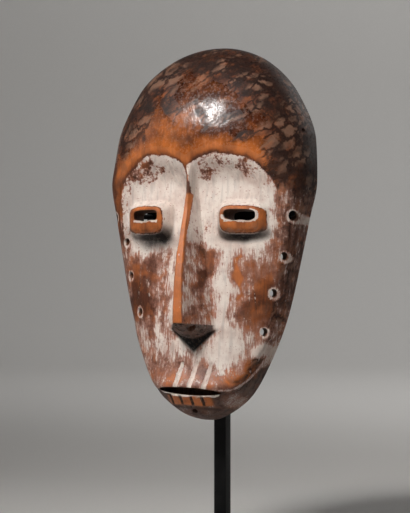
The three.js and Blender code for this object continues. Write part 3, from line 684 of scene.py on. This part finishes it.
def eye_marks(form, x, z, sunk):
    """The oiled rim of an eye block with its worn edge and a painted shade line round its foot, darker on its
    lower side, the white round its slot, and the painted shade on the cheek under it.
    """
    spread = np.minimum(form.eye_spread(x, z, -1), form.eye_spread(x, z, 1))
    past_corner = smoothstep(np.abs(x), form.eye_x + 9, form.eye_x + 16)
    wider = 3 * past_corner * smoothstep(np.abs(z - form.eye_z), 11, 6)
    rim = smoothstep(spread, 2.0 + wider, 0.8 + wider)
    # A painted shade line round the foot of the block, and painted shade on the rim's lower side, which faces
    # down from the light
    outline = 0.6 * smoothstep(np.abs(spread - 1.5 - wider), 1.0, 0.3)
    outline = outline + 0.3 * rim * smoothstep(z, form.eye_z - 3, form.eye_z - 9)
    worn_edge = np.exp(-(((spread - 0.1) / 0.5) ** 2)) * (np.abs(z - form.eye_z) < 12)
    slot_z = form.eye_z + SLOT_RISE
    foot = slot_z - form.slot[1] + 0.4 * np.sin(x / 2.3 + z / 5)
    broken = 0.88 + 0.12 * np.sin(x / 1.3 + 2 * np.sin(x / 3.1))
    sill = broken * smoothstep(np.abs(z - foot + 0.3), 1.3, 0.7) * smoothstep(spread, 0, -1)
    sill = sill * (np.abs(np.abs(x) - form.eye_x) < form.slot[0] + 0.2) * smoothstep(sunk, 4, 2)
    reach = (np.abs(x - form.eye_x) / form.slot[0]) ** SLOT_POWER
    reach = reach + (np.abs(z - slot_z) / form.slot[1]) ** SLOT_POWER
    past = (reach ** (1 / SLOT_POWER) - 1) * form.slot[1]
    ring = band(past, -0.3, 0.1, 0.6, 1.1) * (spread < 0)
    ring = ring * np.maximum(smoothstep(z, slot_z + 1, slot_z - 1),
                             smoothstep(x, form.eye_x + 6, form.eye_x + 9))
    # Painted shade on the cheek under the block
    under = band(spread, 0.8, 2, 5, 9) * smoothstep(z, form.eye_z - 2, form.eye_z - 8)
    return spread, rim, outline, worn_edge, sill, ring, under


def mouth_marks(form, x, z, level, sunk):
    """The lower lip, the white ledge of the mouth, the painted shade in the lip's notches and under it, and
    the jaw's crease with its painted shade line, and the crease's lip.
    """
    lip_z = form.mouth_line(x) - 7.2
    from_middle = np.abs(x - MOUTH["shift"])
    on_lip = smoothstep(np.abs(z - lip_z), 4.0, 3.0) * smoothstep(from_middle, 21, 17)
    arch = np.sqrt(np.maximum(0, 1 - (from_middle / form.mouth) ** 2))
    foot = form.mouth_line(x) - MOUTH["sag"] * MOUTH["half_opening"] * arch
    dip = 0.5 * np.sin(x / 4.1 + 0.6) + 0.3 * np.sin(x / 1.7)
    ledge = smoothstep(np.abs(z - foot - 0.1 - dip), 1.5, 0.8)
    ledge = ledge * smoothstep(from_middle, form.mouth - 0.5, form.mouth - 2) * smoothstep(sunk, 6, 4)
    # Painted shade in the notches of the lower lip and along its underside
    in_notch = smoothstep(form.from_notch(x), 1.5, 0.8) * on_lip
    under_lip = smoothstep(np.abs(z - lip_z + 5.4), 1.6, 0.6) * smoothstep(from_middle, 24, 19)
    gaps = np.maximum(in_notch * 0.9, 0.8 * under_lip)
    above = level - MOUTH["height"]
    # A painted shade line along the jaw's crease
    crease = np.exp(-(((above + 0.6) / 1.3) ** 2)) * (np.abs(x) > form.mouth - 5) * (z < 70)
    crease_lip = smoothstep(np.abs(above - 0.9), 0.9, 0.3) * (np.abs(x) > form.mouth - 3) * (z < 62)
    return on_lip, ledge, in_notch, gaps, crease, crease_lip


def hole_marks(form, x, z):
    """The pale chipped edge round each hole of the side, and a painted shade round the small ones that widens
    their dark openings.
    """
    around = np.full(np.shape(x), 9.0)
    for place, _, radius in form.side_holes():
        off = np.hypot((x - place[0]) / math.cos(HOLE_TURN), z - place[2] + 0.8) - radius
        around = np.minimum(around, np.abs(off - 0.6))
    # Painted shade round the small holes, widening their dark openings
    dark = np.zeros(np.shape(x))
    for side in (-1, 1):
        hole_x, _, hole_z = form.hole_place(side, SMALL_HOLE["inset"], SMALL_HOLE["height"])
        dark = dark + 0.8 * smoothstep(np.hypot(x - hole_x, z - hole_z), 4.2, 2.2)
    return smoothstep(around, 1.6, 0.4), dark


def painted(form, x, depth, z):
    """The share of each finish at every place of the mask, by name."""
    plain = form.plain_depth(x, z)
    sunk = form.front_depth(x, z) - depth
    level = form.crease_level(x, z)
    loose, near = wandering(x, z, 3.2), wandering(x, z, 0.9)
    heart = form.inside_heart(*near)
    side = x / form.half_width(z)
    on_ridge, ridge_white, ridge_dark, nose_shade, under_nose = nose_marks(form, x, z, depth - plain)
    spread, rim, rim_shade_line, worn_edge, sill, slot_ring, under_eye = eye_marks(form, x, z, sunk)
    on_lip, ledge, in_notch, lip_gap_shade, crease, crease_lip = mouth_marks(form, x, z, level, sunk)
    hole_edge, hole_shade = hole_marks(form, x, z)
    stripes = form.stripe(x, z)
    above_crease = smoothstep(level, MOUTH["height"] - 0.6, MOUTH["height"] + 0.8)
    jaw = 1 - above_crease
    jaw_pale = np.clip(patches(*loose, JAW_PALE_PATCHES), 0, 1) * jaw

    # Clay: thick in the heart of the face and thin below it, wiped off what stands out, with white lines
    in_heart = smoothstep(heart, 0.93, 0.88) * smoothstep(loose[1] + 0.22 * np.abs(x), 124, 142)
    inwards = smoothstep(np.abs(loose[0]) / form.half_width(z), 0.93, 0.74)
    in_heart = 0.9 * in_heart * lerp(1, inwards, smoothstep(z, 190, 170))
    low_face = smoothstep(loose[1], 146, 122) * lerp(0.37, 0.28, smoothstep(form.share(x, z), 0.75, 1))
    temple = 0.36 * smoothstep(z, 186, 160) * smoothstep(x, 55, 62) * above_crease
    clay = np.maximum(np.maximum(in_heart, low_face), temple) + patches(*loose, CLAY_PATCHES)
    seam = smoothstep(np.abs(x - np.interp(z, (170, 198), (-1.6, -6.5))), 2.4, 1.0) * smoothstep(z, 168, 172)
    clay = clay * (1 - on_ridge) * (1 - rim) * (1 - 0.9 * seam) * lerp(0.5, 1, above_crease) + sill
    lips = smoothstep(np.abs(x), 42, 26) * smoothstep(z, 46, 38)
    clay = lerp(clay, clay * 0.45, lips) * (1 - 0.9 * on_lip)
    # Less clay at the edge at positive x, whose bare dark wood is partly painted shade of the side turned
    # from the light
    clay = clay * (1 - 0.75 * smoothstep(side, 0.84, 0.95) * smoothstep(z, 58, 76))
    for white in (0.95 * ridge_white, slot_ring, 0.5 * jaw_pale * (1 - on_lip), ledge, 0.62 * crease_lip,
                  1.2 * smoothstep(stripes, 0.1, 0.3), 0.75 * hole_edge * (z < 170) * above_crease):
        clay = np.maximum(clay, white)

    brow_band = band(heart, 0.9, 0.96, 1.06, 1.26) * smoothstep(z, 176, 192)
    ochre = patches(*loose, OCHRE_PATCHES) + 0.8 * brow_band + on_ridge + 0.7 * rim + 0.3 * worn_edge + on_lip
    # Dark crust of oil and smoke; the edge at positive x, which turns from the light, is darker as painted
    # shade, and the painted shade lines of the jaw's crease, the eye blocks' feet and the small holes are
    # added to it
    crust = patches(*loose, CRUST_PATCHES) + 0.75 * smoothstep(side, 0.88, 0.98)
    crust = crust * (1 - rim) + 0.9 * crease + rim_shade_line + 0.4 * ridge_dark + hole_shade
    # Grey under the jaw, the nose and the eye blocks: partly dirty, and partly painted shade on faces turned
    # down from the light. The darkest colour is laid as painted shadow: the shadow the nose casts below its
    # tip, and the shade under the eye blocks
    grime_and_shade = 0.85 * jaw * (1 - on_lip) * (1 - 0.55 * jaw_pale)
    grime_and_shade = np.maximum(grime_and_shade, np.maximum(under_nose, 0.6 * under_eye))
    painted_shade = np.maximum(nose_shade, patches(*near, PAINTED_SHADE_PATCHES) * smoothstep(spread, 0.9, 2.4))
    soft = smoothstep(z, 150, 128) + smoothstep(x, 52, 60) * smoothstep(z, 196, 178)
    return {
        "clay": np.clip(clay, 0, 1.2),
        "ochre": np.clip(ochre, 0, 1) * (1 - np.clip(stripes * 2, 0, 1)),
        # The lip's notches are painted dark as the shade in their grooves
        "crust": np.clip(np.maximum(crust, in_notch), 0, 1),
        "grime_and_shade": np.clip(grime_and_shade * (1 - ledge), 0, 1),
        # Painted shade in the lip's notches and under the lower lip
        "painted_shade": np.clip(np.maximum(painted_shade, 0.75 * lip_gap_shade), 0, 1),
        "polish": smoothstep(heart, 0.95, 1.1) * smoothstep(z, 190, 205),
        "soft": np.clip(soft, 0, 1) * (1 - np.maximum(stripes, ledge)),
        "inside": smoothstep(sunk, 0.5, 2.2) * (1 - np.maximum(ledge, np.clip(sill, 0, 1))),
    }


def add_node(tree, kind, *values, inputs=None, output=0, **settings):
    """Adds a shader node with its settings, and its inputs in order or by name.

    An input that is a socket is linked, and any other is set.
    """
    node = tree.nodes.new("ShaderNode" + kind)
    for name, value in settings.items():
        setattr(node, name, value)
    for socket, value in (*enumerate(values), *(inputs or {}).items()):
        if isinstance(value, bpy.types.NodeSocket):
            tree.links.new(value, node.inputs[socket])
        else:
            node.inputs[socket].default_value = value
    return node.outputs[output] if node.outputs else node


def new_material(name):
    """A material, and the function that adds a node to it."""
    material = bpy.data.materials.new(name)
    material.use_nodes = True
    material.node_tree.nodes.clear()
    return material, partial(add_node, material.node_tree)


def in_millimetres(node, stretch=(1, 1, 1)):
    """The place on the object in millimetres, so that a texture's scale is one over its real size."""
    place = node("TexCoord", output="Object")
    return node("VectorMath", place, tuple(s / MM for s in stretch), operation="MULTIPLY")


def finish_surface(node, colour_socket, roughness, bump, distance, **shader):
    """Ends a material: a bump of the given height in metres, and the surface shader."""
    normal = node("Bump", inputs={"Height": bump, "Distance": distance, "Strength": 1.0})
    surface = {"Base Color": colour_socket, "Roughness": roughness, "Normal": normal, **shader}
    node("OutputMaterial", node("BsdfPrincipled", inputs=surface))


def opaque(rgb):
    return (*rgb, 1)


def worn_kaolin_on_carved_wood(colours):
    """Waxed and smoked hardwood, knife-finished, with kaolin clay rubbed on by hand and worn off again.

    The wax gives the forehead a broken gloss, the smoke leaves a cracked dark crust, and the clay is a
    matt chalky white whose edges flake in specks and run off in upright streaks.
    """
    material, node = new_material("worn_kaolin_on_carved_wood")
    place, upright = in_millimetres(node), in_millimetres(node, (1, 1, 0.14))
    tint = {name: opaque(getattr(colours, name)) for name in MaskColours.__annotations__}
    clay, ochre, crust, grime_and_shade, polish, inside, soft, painted_shade = (
        node("Attribute", output="Fac", attribute_name=name)
        for name in ("clay", "ochre", "crust", "grime_and_shade", "polish", "inside", "soft", "painted_shade"))

    # The oil was wiped on in slanting bands about 9 mm wide and 20 mm long
    slanted = node("VectorRotate", place, inputs={"Angle": math.radians(38)}, rotation_type="Y_AXIS")
    banded = node("VectorMath", slanted, (0.45, 0.6, 1.0), operation="MULTIPLY")

    # Cloudy noises: the places, the width of the largest blots in mm, the detail, roughness and twist
    blots, grain, streaks, specks, clouds, bands, pools, stains, pits = (
        node("TexNoise", inputs={"Vector": vector, "Scale": 1 / width, "Detail": detail,
                                 "Roughness": rough, "Distortion": twist})
        for vector, width, detail, rough, twist in (
            (place, 10.0, 4.0, 0.55, 0.0), (upright, 1.1, 4.0, 0.6, 0.0), (upright, 3.4, 3.0, 0.55, 0.4),
            (place, 2.2, 4.0, 0.7, 0.0), (place, 7.0, 5.0, 0.62, 0.0), (banded, 9.0, 5.0, 0.62, 0.5),
            (banded, 13.0, 3.0, 0.5, 0.0), (place, 16.0, 5.0, 0.65, 0.0), (place, 1.6, 3.0, 0.55, 0.0)))

    # Wood: oiled in blots and where it is ochre, with darker streaks and grain, and pale specks of wear
    oiled = node("Math", ochre, 0.9, node("MapRange", blots, 0.42, 0.7, -0.12, 0.45),
                 operation="MULTIPLY_ADD", use_clamp=True)
    bare, unoiled = (node("MapRange", ochre, 0.0, 1.0, 1.0, least) for least in (0.35, 0.0))
    streaked, grained, worn = (
        node("Math", node("MapRange", texture, low, high, 0.0, most), where, operation="MULTIPLY")
        for texture, low, high, most, where in (
            (streaks, 0.5, 0.68, 0.6, bare), (grain, 0.35, 0.7, 0.6, bare),
            (specks, 0.52, 0.74, 0.18, unoiled)))

    # Crust: dark bands, cracks between cells of about 8 mm, and a solid crust in clouds, with pale islands
    jolt = node("TexNoise", inputs={"Vector": place, "Scale": 1 / 5, "Detail": 3.0}, output="Color")
    jolted = node("VectorMath", jolt, (7.0, 7.0, 7.0), banded, operation="MULTIPLY_ADD")
    cells = node("TexVoronoi", inputs={"Vector": jolted, "Scale": 1 / 8}, feature="DISTANCE_TO_EDGE")
    dark = node("MapRange", node("Math", clouds, 1.2, crust, operation="MULTIPLY_ADD"), 1.3, 1.6, 0.0, 0.9)
    for texture, low, high, to_low, to_high, least, most in ((bands, 0.47, 0.58, 0.0, 0.94, 0.05, 0.55),
                                                             (cells, 0.03, 0.13, 0.85, 0.0, 0.15, 0.5)):
        line = node("Math", node("MapRange", texture, low, high, to_low, to_high),
                    node("MapRange", crust, least, most), operation="MULTIPLY")
        dark = node("Math", dark, line, operation="MAXIMUM")
    islands = node("MapRange", crust, 0.0, 0.4, 0.16, 0.68)
    for texture, low, high, least in ((pools, 0.47, 0.6, 0.05), (cells, 0.07, 0.2, 0.0)):
        islands = node("Math", islands, node("MapRange", texture, low, high, least), operation="MULTIPLY")

    # Clay: the more of it, the less wood shows: bare, a mauve wash, a thin pale coat, then thick chalk.
    # It flakes with crisp edges on the brows, and is rubbed out softly on the cheeks
    cover = clay
    for texture, on_brows, on_cheeks in ((specks, 0.7, 0.9), (clouds, 1.25, 1.3), (streaks, 0.9, 1.1),
                                         (grain, 0.0, 0.9)):
        uneven = node("Math", texture, 0.5, operation="SUBTRACT")
        reach = node("MapRange", soft, 0.0, 1.0, on_brows, on_cheeks)
        cover = node("Math", uneven, reach, cover, operation="MULTIPLY_ADD")
    half_covered = 0.53
    cover = node("Math", node("Math", cover, half_covered, operation="SUBTRACT"),
                 node("MapRange", soft, 0.0, 1.0, 1.0, 0.32), half_covered, operation="MULTIPLY_ADD")
    full = node("MapRange", cover, half_covered, 0.64)
    rubbed = node("Mix", soft, inputs={2: specks, 3: grain})

    # Each coat: its ground, then the textures that break it up, from where to where and how far, with
    # what colour
    coats = {
        "wash": ("kaolin_wash", (grain, 0.45, 0.72, 0.8, "wood"), (blots, 0.52, 0.66, 0.5, "ochre")),
        "thin": ("kaolin_wash", (rubbed, 0.42, 0.6, 1.0, "kaolin")),
        "chalk": ("kaolin", (stains, 0.4, 0.72, 0.5, "kaolin_wash"), (streaks, 0.5, 0.72, 0.3, "grime_and_shade")),
        "filth_and_shade": ("grime_and_shade", (streaks, 0.42, 0.62, 1.0, "crust"), (specks, 0.5, 0.64, 0.7, "grime_and_shade")),
        "hollow": ("raw", (streaks, 0.42, 0.62, 0.8, "wood"), (grain, 0.42, 0.7, 0.7, "crust"),
                   (clouds, 0.5, 0.7, 0.4, "grime_and_shade")),
    }
    for coat, (ground, *textures) in coats.items():
        tint[coat] = tint[ground]
        for texture, low, high, most, over in textures:
            share = node("MapRange", texture, low, high, 0.0, most)
            tint[coat] = node("Mix", share, inputs={6: tint[coat], 7: tint[over]}, output=2, data_type="RGBA")

    # Coat over coat on the brown wood: how much of each, and how it is laid on
    # The grey coat is partly dirty and partly painted shade under the nose, eyes and jaw, and the darkest
    # coat is painted shadow and shade under the eyes, below the nose and in the lip's notches
    washed, pitted, dirt_and_shade, painted_shade_share = (
        node("Math", where, node("MapRange", texture, low, high, least, most), operation="MULTIPLY")
        for where, texture, low, high, least, most in (
            (node("MapRange", clay, 0.0, 0.12), cover, 0.3, 0.46, 0.0, 0.85),
            (full, pits, 0.62, 0.7, 0.0, 0.75), (grime_and_shade, clouds, 0.3, 0.6, 0.5, 1.0),
            (painted_shade, specks, 0.3, 0.5, 0.8, 1.0)))
    tint["shade"] = (0.42, 0.36, 0.32, 1)
    finish = tint["wood"]
    for share, coat in ((oiled, "ochre"), (streaked, "crust"), (grained, "shade"), (worn, "dapple"),
                        (dark, "crust"), (islands, "dapple"), (washed, "wash"),
                        (node("MapRange", cover, 0.44, 0.56), "thin"), (full, "chalk"),
                        (pitted, "kaolin_wash"), (dirt_and_shade, "filth_and_shade"), (painted_shade_share, "painted_shade"), (inside, "hollow")):
        finish = node("Mix", share, inputs={6: finish, 7: tint[coat]}, output=2, data_type="RGBA",
                      blend_type="MULTIPLY" if coat == "shade" else "MIX")

    # The waxed forehead is glossy between its chips, the clay is matt
    waxed = node("MapRange", polish, 0.0, 1.0, 0.45, 0.17)
    for texture, low, high, most in ((specks, 0.5, 0.62, 0.25), (crust, 0.25, 0.8, 0.35)):
        waxed = node("Math", waxed, node("MapRange", texture, low, high, 0.0, most), operation="ADD")
    matt = full
    for dull in (painted_shade, dirt_and_shade, inside):
        matt = node("Math", matt, dull, operation="MAXIMUM")
    roughness = node("Mix", matt, inputs={2: waxed, 3: 0.82})
    height = 0.0
    for texture, rise in ((full, 0.45), (grain, 0.35), (specks, 0.4), (dark, -0.35)):
        height = node("Math", texture, rise, height, operation="MULTIPLY_ADD")
    finish_surface(node, finish, roughness, height, 0.22 * MM, IOR=1.5)
    return material


def powder_coated_steel(colours):
    """Mild steel bar, blasted and powder coated: an even, deep black with a faint orange peel."""
    material, node = new_material("powder_coated_steel")
    place = in_millimetres(node)
    # The peel of a baked powder coat is about 0.8 mm from crest to crest, drawn at 1.2 mm so that it shows
    peel, dust = (node("TexNoise", inputs={"Vector": place, "Scale": 1 / width, "Detail": detail})
                  for width, detail in ((1.2, 2.0), (14, 4.0)))
    dusty = node("MapRange", dust, 0.45, 0.8, 0.0, 0.22)
    coat = node("Mix", dusty, inputs={6: opaque(colours.steel), 7: opaque(linear("#3A3836"))}, output=2,
                data_type="RGBA")
    rough = node("MapRange", dust, 0.3, 0.7, 0.45, 0.6)
    finish_surface(node, coat, rough, peel, 0.06 * MM, **{"Specular IOR Level": 0.2})
    return material


def seamless_paper():
    """Matt studio background paper, with the faint tooth of its pulp."""
    material, node = new_material("seamless_paper")
    tooth = node("TexNoise", inputs={"Vector": in_millimetres(node), "Scale": 1 / 3, "Detail": 3.0})
    tone = node("Mix", tooth, inputs={6: opaque(linear("#CFCDCA")), 7: opaque(linear("#D6D4D1"))}, output=2,
                data_type="RGBA")
    finish_surface(node, tone, 0.9, tooth, 0.1 * MM, IOR=1.45)
    return material


def softened_block(low, high, bevel):
    """Points and faces of a bar or plate with bevelled edges."""
    block = bmesh.new()
    bmesh.ops.create_cube(block, size=1)
    low, high = Vector(low), Vector(high)
    for vertex in block.verts:
        vertex.co = Vector(lerp(low[i], high[i], vertex.co[i] + 0.5) for i in range(3))
    bmesh.ops.bevel(block, geom=block.edges[:], offset=bevel, offset_type="OFFSET", segments=3, profile=0.6,
                    affect="EDGES")
    block.verts.index_update()
    points = np.array([vertex.co for vertex in block.verts]) * MM
    faces = [[vertex.index for vertex in face.verts] for face in block.faces]
    block.free()
    return points, faces


def round_bar(path, radii, sides=24):
    """A round bar along a path of points in millimetres, with a radius at each point."""
    path = np.array(path, float)
    rings, first = [], None
    for i, (point, radius) in enumerate(zip(path, radii)):
        along = path[min(i + 1, len(path) - 1)] - path[max(i - 1, 0)]
        along = along / max(np.linalg.norm(along), 1e-9)
        first = square_to(along) if first is None else first - along * first.dot(along)
        rings.append((point + radius * round_ring(along, first, sides)) * MM)
    return closed_rings(rings)


def weld_bead(start, end, radius, pitch=2.2):
    """A bead of weld between two points, rippled by the run of the torch."""
    start, end = np.array(start, float), np.array(end, float)
    count = max(8, int(np.linalg.norm(end - start) / pitch) * 4)
    along = np.linspace(0, 1, count)
    ripple = 1 + 0.12 * np.cos(along * math.pi * 2 * count / 4)
    ends = np.sqrt(np.clip(np.minimum(along, 1 - along) * count / 3, 0.04, 1))
    return round_bar(start + (end - start) * along[:, None], radius * ripple * ends, 10)


def peg_bar(form, post_front, side):
    """A peg from the end of the cross bar, bent outwards into its hole, with a drilled end."""
    height = PEG_HOLE["height"] + PEG_HOLE["radius"] - PEG_RADIUS - CONTACT_GAP
    mouth = form.hole_place(side, PEG_HOLE["inset"], PEG_HOLE["height"])
    outward = np.array([side * math.sin(HOLE_TURN), math.cos(HOLE_TURN), 0])

    def in_hole(reach):
        place = mouth + reach * outward
        return form.standing(place[0], place[1], height) / MM

    root_x = side * (CROSS_BAR["half_length"] - 2 * PEG_RADIUS)
    near, far = in_hole(-1.5 * form.wall), in_hole(-PEG_RADIUS / 2)
    root = np.array([root_x, post_front - CROSS_BAR["thickness"] / 2, in_hole(-1.7 * form.wall)[2]])
    bend = np.array([root_x, post_front - CROSS_BAR["thickness"] - PEG_RADIUS, root[2]])
    curve = interpolate_bezier(Vector(bend), Vector(lerp(bend, near, 0.2)) + Vector((0, -1.2, 0)),
                               Vector(lerp(near, far, -0.25)), Vector(near), 12)
    path = [root, *[np.array(point) for point in curve], *[lerp(near, far, t) for t in (0.5, 0.97, 1)]]
    radii = [PEG_RADIUS] * (len(path) - 2) + [PEG_RADIUS, PEG_RADIUS * 0.86]
    path += [far, far - 1.6 * (far - near) / np.linalg.norm(far - near)]
    radii += [PEG_RADIUS * 0.58, PEG_RADIUS * 0.5]
    return round_bar(path, radii)


def replaced_piece(name, solids, material, node):
    """A piece of the one body that takes the place of a solid of the frame."""
    piece = new_object(name, *joined_solids(solids))
    finish_mesh(piece.data, material, 38)
    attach(piece, "root")
    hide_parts(node)


class CarveMask(bpy.types.Operator):
    """Carve the mask: block out the face, cut the hollow, slots and holes, and lay on the clay"""
    bl_idname = "carved_mask.carve"
    bl_label = "Carve Mask"

    def execute(self, context):
        scene = context.scene
        form = Carving(scene.mask_sizes, scene.stand_sizes)
        mask = bare_object("carved_mask", *carved_block(form))
        cut_away(mask, bare_object("hollow_cutter", *hollow_block(form)))
        cut_away(mask, bare_object("opening_cutter", *all_openings(form)))
        mesh = mask.data
        points = np.empty(len(mesh.vertices) * 3)
        mesh.vertices.foreach_get("co", points)
        for name, values in painted(form, *form.lying(points.reshape(-1, 3))).items():
            mesh.attributes.new(name, "FLOAT", "POINT").data.foreach_set("value", values.astype(np.float32))
        finish_mesh(mesh, worn_kaolin_on_carved_wood(scene.mask_colours), 42)
        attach(mask, "root")
        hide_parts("mask")
        return {"FINISHED"}


class WeldStand(bpy.types.Operator):
    """Weld the post, cross bar, pegs and chin bumper, and set them on the plate"""
    bl_idname = "carved_mask.weld_stand"
    bl_label = "Weld Stand"

    def execute(self, context):
        scene = context.scene
        form = Carving(scene.mask_sizes, scene.stand_sizes)
        sizes = scene.stand_sizes
        post, thickness, bevel = mm(sizes.post), mm(sizes.plate_thickness), mm(sizes.bevel)
        steel = powder_coated_steel(scene.mask_colours)
        front = POST_BACK - MASK_FORWARD - post / 2
        bar_z = form.standing(0, 0, PEG_HOLE["height"])[2] / MM
        half, bar_half = post / 2, CROSS_BAR["height"] / 2
        bar_front = front - CROSS_BAR["thickness"]
        chin = form.standing(0, -CONTACT_GAP, CHIN_RIM / 2) / MM
        bumper_path = [(0, front + half, chin[2])]
        bumper_path += [(0, lerp(chin[1], front, t), chin[2]) for t in (0.6, 0.3, 0.3, 0.05, 0)]
        reach = CROSS_BAR["half_length"]
        solids = [
            softened_block((-half, front, thickness + CONTACT_GAP),
                           (half, front + post, bar_z + CROSS_BAR["height"]), BAR_EDGE),
            softened_block((-reach, bar_front, bar_z - bar_half),
                           (reach, front + CONTACT_GAP, bar_z + bar_half), BAR_EDGE),
            round_bar(bumper_path, [BUMPER_RADIUS * share for share in (0.8, 0.8, 0.8, 1, 1, 0.7)]),
            peg_bar(form, front, -1),
            peg_bar(form, front, 1),
        ]
        beads = [("bar", (-half, front - 0.2, level), (half, front - 0.2, level))
                 for level in (bar_z - bar_half, bar_z + bar_half)]
        beads.append(("bumper", (-2.4, front - 0.1, chin[2] - 2.2), (2.4, front - 0.1, chin[2] - 2.2)))
        foot = thickness + 0.5
        corners = [(x, y, foot) for x, y in ((-half, front), (half, front), (half, front + post),
                                             (-half, front + post))]
        beads += [("plate", *ends) for ends in zip(corners, corners[1:] + corners[:1])]
        solids += [weld_bead(start, end, WELD_RADIUS[joint]) for joint, start, end in beads]
        replaced_piece("welded_post", solids, steel, "stand_post")
        width, depth = mm(sizes.plate_width) / 2, mm(sizes.plate_depth) / 2
        plate = softened_block((-width, -depth, 0), (width, depth, thickness), bevel)
        replaced_piece("base_plate", [plate], steel, "stand_plate")
        return {"FINISHED"}


def area_light(name, aim, azimuth, elevation, distance, size, power, tint):
    """A square soft light that looks at a point from an azimuth and elevation in degrees."""
    turn, rise = math.radians(azimuth), math.radians(elevation)
    direction = Vector((math.sin(turn) * math.cos(rise), -math.cos(turn) * math.cos(rise), math.sin(rise)))
    lamp = bpy.data.lights.new(name, "AREA")
    lamp.shape, lamp.size, lamp.energy, lamp.color = "SQUARE", size, power, tint
    light = bpy.data.objects.new(name, lamp)
    light.location = Vector(aim) + direction * distance
    light.rotation_euler = direction.to_track_quat("Z", "Y").to_euler()
    bpy.context.scene.collection.objects.link(light)
    return light


class SetStage(bpy.types.Operator):
    """Set the paper sweep, the soft lights and the camera"""
    bl_idname = "carved_mask.set_stage"
    bl_label = "Set Stage"

    def execute(self, context):
        scene = context.scene
        # A round cove of paper, in metres: how far it lies flat, the radius of its bend, and its height
        flat, bend, top, sides = 2.7, 0.7, 3.4, 96
        rise = np.linspace(0, math.pi / 2, 17)
        reach = np.concatenate([[0.02, 0.6, 1.3, 2], flat + bend * np.sin(rise), [flat + bend]])
        level = np.concatenate([np.zeros(4), bend * (1 - np.cos(rise)), [top]])
        turn = np.linspace(0, 2 * math.pi, sides, endpoint=False)
        points = [(r * math.cos(a), r * math.sin(a), z) for r, z in zip(reach, level) for a in turn]
        faces = [list(range(sides))]
        for low in range(0, (len(reach) - 1) * sides, sides):
            faces += [[low + i, low + sides + i, low + sides + (i + 1) % sides, low + (i + 1) % sides]
                      for i in range(sides)]
        sweep = new_object("paper_sweep", points, faces)
        sweep.data.materials.append(seamless_paper())
        sweep.data.shade_smooth()

        # A key from above, a card for the gloss of the forehead, and panels to the sides and behind
        face, brow, crown = (0, -0.04, 0.25), (0, -0.04, 0.27), (0, -0.04, 0.33)
        warm, cool = (1.0, 0.98, 0.96), (0.96, 0.98, 1.0)
        key = area_light("key_softbox", brow, -5, 42, 1.6, 0.34, 2.1, (1.0, 0.975, 0.95))
        key.data.spread = math.radians(50)
        gloss = area_light("gloss_card", crown, -20, 37, 1.2, 0.09, 11, warm)
        gloss.data.shape, gloss.data.size_y = "RECTANGLE", 0.26
        area_light("fill_panel", face, -62, 20, 2.0, 0.8, 1.3, cool)
        area_light("right_panel", face, 70, 20, 2.4, 1.0, 0.55, (0.97, 0.98, 1.0))
        area_light("back_panel", face, 155, 28, 2.2, 1.0, 6.0, warm)
        paper_light = area_light("sweep_light", (0, 3.3, 0.9), 0, 35, 1.8, 2.4, 26, (1, 1, 1))
        key.visible_glossy = paper_light.visible_glossy = gloss.visible_diffuse = False
        world = scene.world or bpy.data.worlds.new("studio")
        scene.world = world
        world.use_nodes = True
        world.node_tree.nodes.clear()
        node = partial(add_node, world.node_tree)
        node("OutputWorld", node("Background", inputs={"Color": (0.9, 0.93, 1.0, 1), "Strength": 0.05}))
        scene.view_settings.view_transform = "Standard"

        # 25 degrees to the mask's left and level with it, 1.5 m away, as the photograph was taken
        camera = bpy.data.cameras.new("camera")
        camera.sensor_fit, camera.sensor_height, camera.lens = "VERTICAL", 36, 135.82
        camera.dof.use_dof = False
        viewer = bpy.data.objects.new("camera", camera)
        viewer.location = (0.63077, -1.36594, 0.23871)
        viewer.rotation_euler = (math.pi / 2, 0, math.radians(25))
        scene.collection.objects.link(viewer)
        scene.camera = viewer
        return {"FINISHED"}


class MaskPanel(bpy.types.Panel):
    """Lists the sizes, colours and steps of the carved mask"""
    bl_idname = "VIEW3D_PT_carved_mask"
    bl_label = "Carved Mask"
    bl_space_type = "VIEW_3D"
    bl_region_type = "UI"
    bl_category = "Carved Mask"

    def draw(self, context):
        for group in (context.scene.mask_sizes, context.scene.stand_sizes, context.scene.mask_colours):
            box = self.layout.box()
            for name in group.__annotations__:
                box.prop(group, name)
        for operator in OPERATORS:
            self.layout.operator(operator.bl_idname)


OPERATORS = (SetStage, CarveMask, WeldStand)
GROUPS = {"mask_sizes": MaskSizes, "stand_sizes": StandSizes, "mask_colours": MaskColours}


def register():
    for cls in (*GROUPS.values(), *OPERATORS, MaskPanel):
        bpy.utils.register_class(cls)
    for name, group in GROUPS.items():
        setattr(bpy.types.Scene, name, PointerProperty(type=group))


def unregister():
    for name in GROUPS:
        delattr(bpy.types.Scene, name)
    for cls in (MaskPanel, *reversed(OPERATORS), *GROUPS.values()):
        bpy.utils.unregister_class(cls)


def main():
    register()
    bpy.ops.carved_mask.set_stage()
    bpy.ops.carved_mask.carve()
    bpy.ops.carved_mask.weld_stand()


if __name__ == "__main__":
    main()
